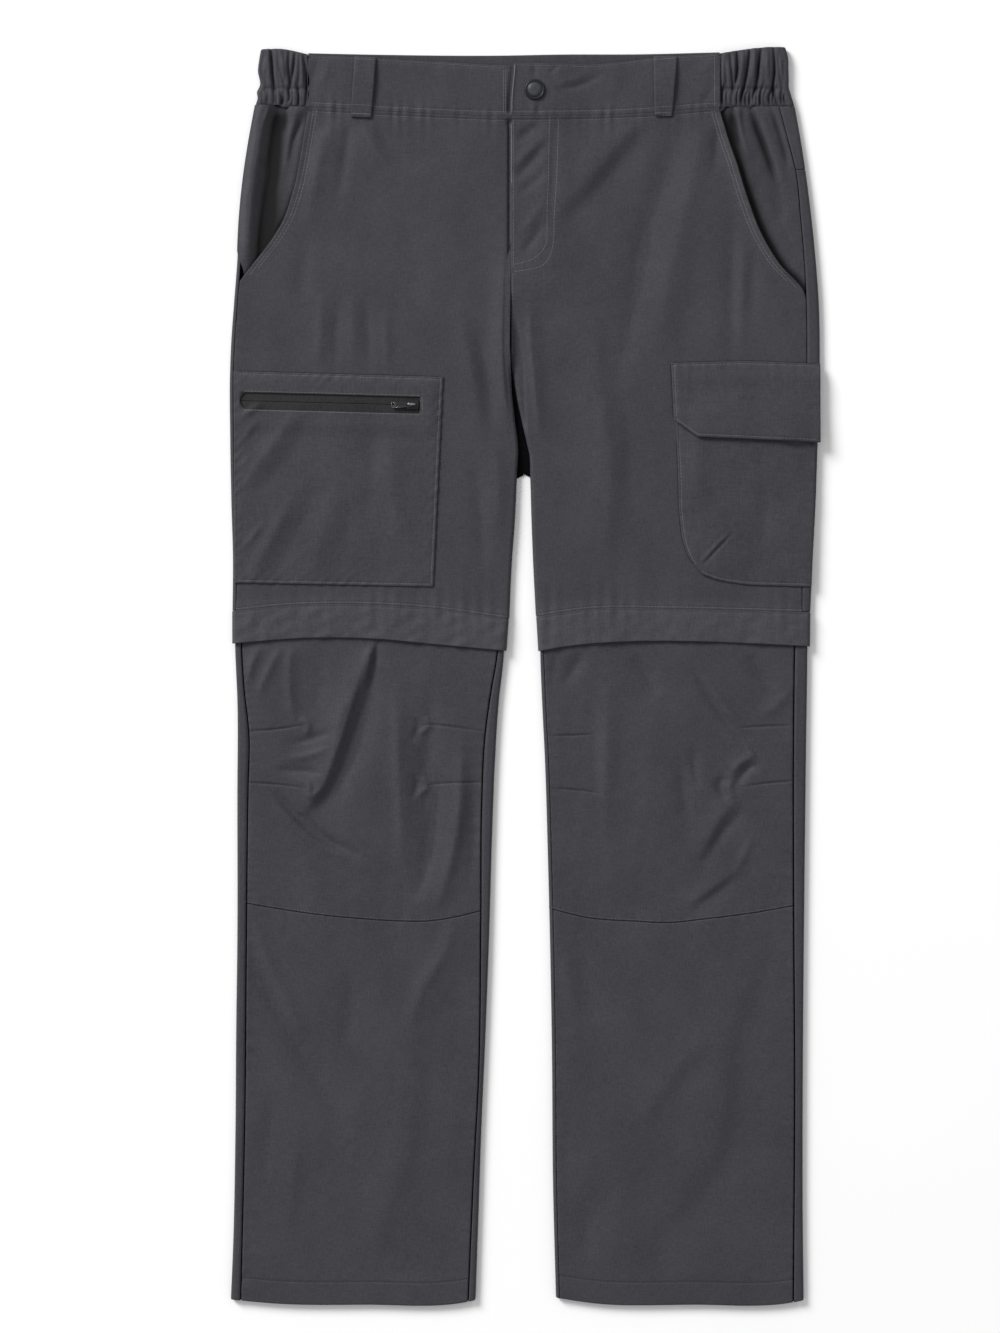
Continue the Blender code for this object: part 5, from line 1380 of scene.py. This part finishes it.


# %% [markdown]
# Rows run beside the seams that show. One kind of piece here is not thread: the light bars of painted_edge_highlights
# stand for edges of cloth that catch the light.

# %% Rows of sewing on the shorts part
sew("sewing_waist", across(WAIST_SEAM, -181, FLY - 2, -3.7), across(WAIST_SEAM, FLY + 2, 163, -3.7),
    across(WAIST_SEAM, -178, FLY - 1, 3.7), across(WAIST_SEAM, FLY + 2, 160, 3.7),
    across(TOP_FRONT_RIGHT, -181, FLY - 3, 1.6), across(TOP_FRONT_LEFT, FLY + 1.6, 163, 1.6),
    along(level(FLY - 4.4), 20, 60), along(level(FLY - 6.2), 20, 58), along(level(160.6), 9, 54))
sew("sewing_pocket_mouths", along(MOUTH_RIGHT, 54, 196, 4.6), along(MOUTH_RIGHT, 54, 190, 7.4),
    along(MOUTH_LEFT, 54, 207, -4.6), along(MOUTH_LEFT, 54, 200, -7.4))
FLY_OUTER = smooth_path(seen((558.6, 118), (556.9, 173), (554.4, 214), (552.8, 247), (544.5, 264), (530, 269.5),
                             (513, 272)))
FLY_INNER = smooth_path(seen((549.4, 118), (548.5, 173), (547, 214), (546, 244), (533, 259), (513, 265)))
sew("sewing_fly", FLY_OUTER, FLY_INNER, along(level(FLY + 2.0), 62, 190), along(level(-10.2), 192, 262))
# Light bars along the fly and the left end of the waistband paint the highlight on those edges.
sew("painted_edge_highlights", along(waist_end, 13.5, 58, 0.5), along(level(FLY + 0.6), 66, 118),
    pitch=1.5, size=(1.6, 0.75, 0.6), proud=0.2, holes=0.0)
LOOP_ENDS = [straight((-147, 57.0), (-130.5, 57.6)), straight((110, 56.6), (124.4, 56.6))]
sew("loop_tacks", across(LOOP_ENDS[0], -147, -130), across(LOOP_ENDS[1], 110.3, 124.4), pitch=0.7,
    size=(0.6, 1.5, 0.5),
    holes=0.0)
sew("bar_tacks", along(level(17.8), 155, 165.5), along(level(-13.0), 185, 197), pitch=0.8, size=(0.7, 1.3, 0.5),
    holes=0.0)
sew("sewing_patch_pocket", across(PATCH_TOP, -245, -72, 2.3), across(PATCH_LOW, -243, -80, -2.3),
    along(PATCH_RIGHT, 281, 456, -2.3), across(ZIP_LINE, -238, -87, -8.2), across(ZIP_LINE, -238, -87, 7.9),
    along(level(-86.9), 297, 311))
sew("sewing_cargo_pocket", across(CARGO_LOW, 150, 241, -2.3), along(CARGO_LEFT, 334, 440, 2.3),
    across(FLAP_TOP, 126, 247, 2.3), across(FLAP_LOW, 128, 247, -2.3),
    along(straight((268, 123.7), (316, 126.0), (331, 126.0)), 270, 316, 2.3))

# %% [markdown]
# The seams lower down have finer rows. The bars called edge_shadow_lines are no sewing either: they are
# thin and dark, and stand for the shadow in the gap beside a pocket's edge.

# %% Rows of sewing on the knee bands and lower legs
sew("sewing_knee_bands", across(BAND_TOP_RIGHT, -245, -16, -1.6), across(BAND_TOP_LEFT, 11, 239, -1.6))
sew("sewing_knee_seams", across(KNEE_RIGHT, -238, -60, -1.4), across(KNEE_LEFT, 20, 228, -1.4),
    size=(1.1, 0.5, 0.4),
    proud=0.1, holes=0.8)
sew("sewing_hems", across(HEM_RIGHT, -240, -50, -19.5), across(HEM_LEFT, 32, 224, -19.5), size=(1.1, 0.5, 0.4),
    proud=0.08, holes=1.2)
sew("sewing_darts", *[smooth_path(dart) for dart in DARTS], size=(1.0, 0.5, 0.4), proud=0.08, holes=1.2)
sew("edge_shadow_lines", across(PATCH_TOP, -244, -70, -0.35), across(FLAP_TOP, 125, 249, -0.35),
    along(straight((268, 123.7), (316, 126.0)), 269, 316, -0.5),
    along(CARGO_LEFT, 334, 440, -0.45), pitch=1.5, size=(1.6, 0.55, 0.3), proud=0.04, holes=0.0)
sew("zip_teeth", across(ZIP_LINE, -240, -112), pitch=1.0, size=(0.55, 1.9, 0.8), proud=0.22, holes=0.0,
    slot="zip_tape")

# %% [markdown]
# The snap on the waistband is a turned shape: a flat rim, a raised bead, a groove and a low dome. Its
# profile is spun round the middle.

# %% Waist snap
SNAP_AT = (8.3, 37.0)
bm = bmesh.new()
profile = [bm.verts.new((r * 0.001, 0.0, z * 0.001)) for r, z in (
    (0.0, 9.3), (8.6, 9.3), (8.85, 9.8), (8.75, 10.5), (8.3, 11.15), (7.6, 11.4), (6.95, 11.2), (6.6, 10.85),
    (6.3, 10.95),
    (5.8, 11.5), (4.8, 12.0), (3.2, 12.4), (1.6, 12.57), (0.0, 12.6))]
edges = [bm.edges.new(pair) for pair in zip(profile[:-1], profile[1:])]
bmesh.ops.spin(bm, geom=profile + edges, cent=(0, 0, 0), axis=(0, 0, 1), angle=2 * math.pi, steps=56,
               use_merge=True)
bmesh.ops.remove_doubles(bm, verts=bm.verts, dist=1e-6)
bmesh.ops.recalc_face_normals(bm, faces=bm.faces)
bmesh.ops.translate(bm, verts=bm.verts, vec=Vector(place(*SNAP_AT, 0.0)))
snap_mesh = bpy.data.meshes.new("snap")
bm.to_mesh(snap_mesh)
bm.free()
snap_mesh.shade_smooth()
snap = bpy.data.objects.new("snap", snap_mesh)
bpy.context.collection.objects.link(snap)
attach(snap, "garment")
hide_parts("waist_button")
pieces["snap"] = snap
print("snap:", len(snap_mesh.polygons), "faces")

# %% [markdown]
# The slider and the pull keep their solids. Their glints are painted on with added pieces in a light metal: a
# smooth cap on the slider's bridge, and a thin rim along the lower edge, the end and the slot of the pull tab.

# %% Painted glints: a cap and rims
def metal_piece(name, bm, body):
    """Finish a small metal piece that rides on a body."""
    mesh = bpy.data.meshes.new(name)
    bm.to_mesh(mesh)
    bm.free()
    mesh.shade_smooth()
    thing = bpy.data.objects.new(name, mesh)
    bpy.context.collection.objects.link(thing)
    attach(thing, body)
    pieces[name] = thing


SLIDER_AT = (-96.0, 303.4)
DECK, AXIS_Z = 9.2, 10.2
bm = bmesh.new()
bmesh.ops.create_uvsphere(bm, u_segments=24, v_segments=12, radius=0.001)
bmesh.ops.scale(bm, verts=bm.verts, vec=(3.6, 1.15, 0.8))
bmesh.ops.translate(bm, verts=bm.verts, vec=Vector(place(*SLIDER_AT, DECK + 2.75)))
metal_piece("slider_glint_cap", bm, "garment")

bm = bmesh.new()
rims = [((-16.9, 2.55), (-5.0, 2.15)), ((-17.0, 2.5), (-17.0, -2.5)), ((-16.0, 1.55), (-13.9, 1.55)),
        ((-16.0, -1.55), (-13.9, -1.55)), ((-13.9, 1.5), (-13.9, -1.5))]
for (x0, d0), (x1, d1) in rims:
    rim = bmesh.ops.create_cube(bm, size=1.0)["verts"]
    run = Vector((x1 - x0, d0 - d1, (x0 - x1) * -0.052))
    middle = place(SLIDER_AT[0] + (x0 + x1) / 2, SLIDER_AT[1] + (d0 + d1) / 2,
                   AXIS_Z + 0.5 + (x0 + x1) / 2 * 0.052)
    bmesh.ops.scale(bm, verts=rim, vec=(run.length * 0.001, 0.00032, 0.0002))
    turn = run.to_track_quat("X", "Z").to_matrix().to_4x4()
    turn.translation = Vector(middle)
    bmesh.ops.transform(bm, matrix=turn, verts=rim)
metal_piece("pull_glint_rims", bm, "pull")
print("bright cap and", len(rims), "rims")

# %% [markdown]
# Colours and finishes are worked out by small sums of patterns. The class below wraps an output of a node,
# so that a sum or product of two outputs can be written as it would be on paper.

# %% Write shader maths as sums
class Wire:
    """An output in a material's tree; sums and products of it add Math nodes."""

    def __init__(self, tree, socket=None):
        self.tree, self.socket = tree, socket

    def node(self, kind, settings, inputs, output=0):
        """Any node: its settings first, then the values or links of its sockets."""
        made = self.tree.nodes.new(kind)
        for key, value in settings.items():
            if key == "stops":
                ramp_of = made.color_ramp
                for number, (at, shade) in enumerate(value):
                    stop = ramp_of.elements[number] if number < 2 else ramp_of.elements.new(at)
                    stop.position, stop.color = at, (shade, shade, shade, 1.0)
            else:
                setattr(made, key, value)
        for key, value in inputs.items():
            if isinstance(value, Wire):
                self.tree.links.new(value.socket, made.inputs[key])
            else:
                made.inputs[key].default_value = value
        return Wire(self.tree, made.outputs[output])

    def sum_of(self, operation, first, second):
        return self.node("ShaderNodeMath", {"operation": operation}, {0: first, 1: second})

    def __add__(self, other):
        return self.sum_of("ADD", self, other)

    def __radd__(self, other):
        return self.sum_of("ADD", other, self)

    def __sub__(self, other):
        return self.sum_of("SUBTRACT", self, other)

    def __rsub__(self, other):
        return self.sum_of("SUBTRACT", other, self)

    def __mul__(self, other):
        return self.sum_of("MULTIPLY", self, other)

    def __rmul__(self, other):
        return self.sum_of("MULTIPLY", other, self)


def new_finish(name, constants):
    """A material with constants set on its shader; returns it, its shader and a wire to start from."""
    material = bpy.data.materials.new(name)
    material.use_nodes = True
    shader = material.node_tree.nodes["Principled BSDF"]
    for key, value in constants.items():
        shader.inputs[key].default_value = value
    return material, shader, Wire(material.node_tree)


def drive(wire, shader, key):
    wire.tree.links.new(wire.socket, shader.inputs[key])


def pattern(wire, size, detail=2.0, rough=0.5, scale=1.0):
    """Noise in the piece's own coordinates; size is (x, y, z) in millimetres."""
    where = wire.node("ShaderNodeTexCoord", {}, {}, "Object")
    spread = wire.node("ShaderNodeMapping", {}, {"Vector": where, "Scale": [1000.0 / s for s in size]})
    return wire.node("ShaderNodeTexNoise", {}, {"Vector": spread, "Scale": scale, "Detail": detail,
                                                "Roughness": rough})


def tinted(wire, low, high, share):
    """A colour between two, by a share."""
    return wire.node("ShaderNodeMix", {"data_type": "RGBA"}, {0: share, 6: (*low, 1.0), 7: (*high, 1.0)}, 2)


# %% [markdown]
# The cloth is a light woven nylon: matt, a neutral grey with a trace of blue, and with fine uneven threads
# both ways. Threads that differ slightly in tone and height give that, and broad soft clouds of tone keep
# a wide panel from looking flat. The pattern is noise stretched along each thread, which can't shimmer as
# a regular grid would.

# %% Cloth
def woven(name, low, high, rough, relief_of=0.35, thread=0.6, run=8.0, gloss=0.16, sheen=0.05):
    material, shader, w = new_finish(name, {"Specular IOR Level": gloss, "Sheen Weight": sheen,
                                            "Sheen Roughness": 0.5})
    warp = pattern(w, (thread, run, 6.0), 2.0, 0.6)
    weft = pattern(w, (run, thread, 6.0), 2.0, 0.6)
    cloud = pattern(w, (38.0, 55.0, 45.0), 4.0, 0.55)
    slub = pattern(w, (1.5, 2.6, 6.0), 3.0, 0.65)
    threads = warp * 0.5 + weft * 0.5
    share = threads * 1.5 + slub * 0.8 + cloud * 0.5 - 0.9
    # Painted shade: where a sheet carries a share of it, the colour is mixed towards near black.
    painted_shade = w.node("ShaderNodeAttribute", {"attribute_name": "painted_shade"}, {}, "Fac")
    shade = w.node("ShaderNodeMix", {"data_type": "RGBA"}, {0: painted_shade * 0.92, 6: tinted(w, low, high, share),
                                                            7: (low[0] * 0.12, low[1] * 0.12, low[2] * 0.12,
                                                                1.0)}, 2)
    drive(shade, shader, "Base Color")
    drive(threads * 0.16 + (rough - 0.08), shader, "Roughness")
    bump = w.node("ShaderNodeBump", {}, {"Strength": relief_of, "Distance": 0.0004, "Height": threads})
    drive(bump, shader, "Normal")
    return material


cloth = woven("woven_nylon", (0.0220, 0.0220, 0.0258), (0.0525, 0.0526, 0.0615), 0.68)
band_cloth = woven("woven_nylon_band", (0.0265, 0.0266, 0.031), (0.061, 0.0613, 0.0714), 0.68)
# This near-black finish paints shadow on the inner faces and rims of the cloth, in needle holes and along pocket
# edges.
inside = woven("painted_shadow_black", (0.002, 0.002, 0.0024), (0.005, 0.005, 0.006), 0.9, gloss=0.0, sheen=0.0)
thread_finish = woven("sewing_thread", (0.076, 0.077, 0.086), (0.140, 0.142, 0.157), 0.5, 0.2, 0.3, 1.0)
# A light finish that paints the highlight on cloth edges; the belt-loop tacks take it too.
bright_tack_and_highlight_finish = woven("bright_tacks_and_painted_edge_highlights", (0.10, 0.101, 0.112), (0.16, 0.162, 0.178), 0.5, 0.2, 0.3, 1.0)
tape = woven("zip_tape_weave", (0.006, 0.0057, 0.0058), (0.030, 0.0286, 0.0292), 0.6, 0.6, 0.5, 1.6)


# %% [markdown]
# The slider, the pull and the snap are small painted or plated metal parts. Fine grain and broader wear
# drive the colour, and the wear drives the roughness too, so the highlight breaks up. The zip teeth use the
# same sum without metal.

# %% Metal of the zip, the pull and the snap
def painted(name, low, high, rough, metallic, coat=0.0, darker_ring_centre=None, gloss=0.35):
    material, shader, w = new_finish(name, {"Coat Weight": coat, "Coat Roughness": 0.25, "Metallic": metallic,
                                            "Specular IOR Level": gloss})
    grain = pattern(w, (0.9, 0.9, 0.9), 3.0, 0.6)
    wear = pattern(w, (4.0, 4.0, 4.0), 4.0, 0.6)
    share = grain * 0.6 + wear * 0.5 - 0.15
    # The colour share fades between 4.6 and 6.6 mm from that centre, so the snap is darker outside its dome.
    if darker_ring_centre is not None:
        where = w.node("ShaderNodeTexCoord", {}, {}, "Object")
        off = w.node("ShaderNodeVectorMath", {"operation": "SUBTRACT"},
                     {0: where, 1: (*place(*darker_ring_centre, 0.0)[:2], 0.0)})
        flat = w.node("ShaderNodeVectorMath", {"operation": "MULTIPLY"}, {0: off, 1: (1000.0, 1000.0, 0.0)})
        radius = w.node("ShaderNodeVectorMath", {"operation": "LENGTH"}, {0: flat}, "Value")
        dome = w.node("ShaderNodeMapRange", {"interpolation_type": "SMOOTHSTEP"},
                      {0: radius, 1: 4.6, 2: 6.6, 3: 1.0, 4: 0.05})
        share = share * dome
    drive(tinted(w, low, high, share), shader, "Base Color")
    drive(wear * 0.2 + (rough - 0.1), shader, "Roughness")
    bump = w.node("ShaderNodeBump", {}, {"Strength": 0.12, "Distance": 0.0002, "Height": grain})
    drive(bump, shader, "Normal")
    return material


slider_metal = painted("gunmetal", (0.010, 0.0101, 0.0103), (0.040, 0.0405, 0.0412), 0.30, 0.6)
pull_metal = painted("dark_painted_pull", (0.010, 0.0101, 0.0103), (0.034, 0.0345, 0.0355), 0.34, 0.3)
snap_paint = painted("dark_snap", (0.010, 0.0115, 0.013), (0.072, 0.083, 0.093), 0.42, 0.0, 0.0, SNAP_AT, 0.2)
# A light metal that paints the glints on the slider and the pull.
glint_metal = painted("painted_glint_metal", (0.10, 0.102, 0.105), (0.32, 0.33, 0.34), 0.25, 0.7)
teeth_finish = painted("zip_teeth_nylon", (0.012, 0.012, 0.0125), (0.05, 0.05, 0.052), 0.40, 0.0)

# %% [markdown]
# Every piece gets its finish by name. Cloth sheets get a second one for the faces that their thickness adds, and
# thread gets a second one for its needle holes. For most pieces that second finish is near black and paints shadow.

# %% Give every piece its finish
for name, piece in pieces.items():
    finish = cloth
    if name in ("sewing_hems", "sewing_darts"):
        finish = tape
    elif name.startswith("sewing") or name == "bar_tacks":
        finish = thread_finish
    elif name == "edge_shadow_lines":
        finish = inside
    elif name in ("painted_edge_highlights", "loop_tacks"):
        finish = bright_tack_and_highlight_finish
    elif name.startswith("knee_flap"):
        finish = band_cloth
    elif "_zip_tape_" in name or name.startswith("leg_zip"):
        finish = tape
    elif name == "snap":
        finish = snap_paint
    elif name in ("slider_glint_cap", "pull_glint_rims"):
        finish = glint_metal
    elif name == "zip_teeth":
        finish = teeth_finish
    piece.data.materials.clear()
    piece.data.materials.append(finish)
    if finish == thread_finish:
        piece.data.materials.append(inside)
    if piece.modifiers:
        piece.data.materials.append(tape if finish == tape else cloth if name == "waistband_back" else inside)
for node, finish in (("pocket_zip_slider", slider_metal), ("pocket_zip_pull", pull_metal)):
    solid = bpy.data.objects[node]
    if not solid.material_slots:
        solid.data.materials.append(finish)
    for slot in solid.material_slots:
        slot.material = finish

# %% [markdown]
# The floor is a plain pale sheet with hardly any gloss. The light is one wide soft lamp
# low on the upper left, which grazes the cloth and brings out its folds, over an even pale surrounding.

# %% Floor, light and surroundings
paper, shader, w = new_finish("pale_floor", {"Specular IOR Level": 0.1})
drive(tinted(w, (0.83, 0.83, 0.83), (0.86, 0.86, 0.86), pattern(w, (300.0, 300.0, 300.0), 2.0)), shader,
      "Base Color")
drive(pattern(w, (2.0, 2.0, 2.0), 2.0) * 0.1 + 0.8, shader, "Roughness")
floor.data.materials.append(paper)

world = bpy.data.worlds.new("soft_surroundings")
world.use_nodes = True
world.node_tree.nodes["Background"].inputs["Color"].default_value = (1.0, 1.0, 1.0, 1.0)
world.node_tree.nodes["Background"].inputs["Strength"].default_value = 0.60
bpy.context.scene.world = world


def lamp(name, away, height_angle, turn, size, light):
    """A round lamp aimed at the middle; light is what it adds to a level white surface."""
    low, flat = math.radians(height_angle), math.radians(turn)
    where = Vector((math.cos(flat) * math.cos(low), math.sin(flat) * math.cos(low), math.sin(low))) * away
    data = bpy.data.lights.new(name, "AREA")
    data.shape, data.size, data.energy = "DISK", size, light * math.pi**2 * away**2 / math.sin(low)
    thing = bpy.data.objects.new(name, data)
    thing.location = where
    thing.rotation_euler = where.to_track_quat("Z", "Y").to_euler()
    bpy.context.collection.objects.link(thing)


lamp("key", 11.0, 30.0, 137.0, 4.75, 0.66)

# %% [markdown]
# The camera looks straight down from three metres, square to the garment, as the photograph was taken.

# %% Camera
camera_data = bpy.data.cameras.new("camera")
camera_data.sensor_fit = "VERTICAL"
camera_data.sensor_height = 36.0
camera_data.lens = 36.0 * 3.0 / (1333 * PIXEL * 0.001)
camera = bpy.data.objects.new("camera", camera_data)
camera.location = (*place((500 - 525) * PIXEL, (666.5 - 46.5) * PIXEL, 0.0)[:2], 3.006)
bpy.context.collection.objects.link(camera)
bpy.context.scene.camera = camera
bpy.context.scene.view_settings.view_transform = "Standard"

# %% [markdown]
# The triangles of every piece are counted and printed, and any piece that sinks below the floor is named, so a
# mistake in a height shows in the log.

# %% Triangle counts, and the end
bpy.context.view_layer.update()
triangles = {}
depsgraph = bpy.context.evaluated_depsgraph_get()
for name, piece in pieces.items():
    shown = piece.evaluated_get(depsgraph).to_mesh()
    shown.calc_loop_triangles()
    triangles[name] = len(shown.loop_triangles)
    lowest = min(v.co.z for v in shown.vertices)
    if lowest < -0.0001:
        print("below the floor:", name, round(lowest * 1000, 2))
print("triangles in all:", sum(triangles.values()), "most:", max(triangles.items(), key=lambda item: item[1]))
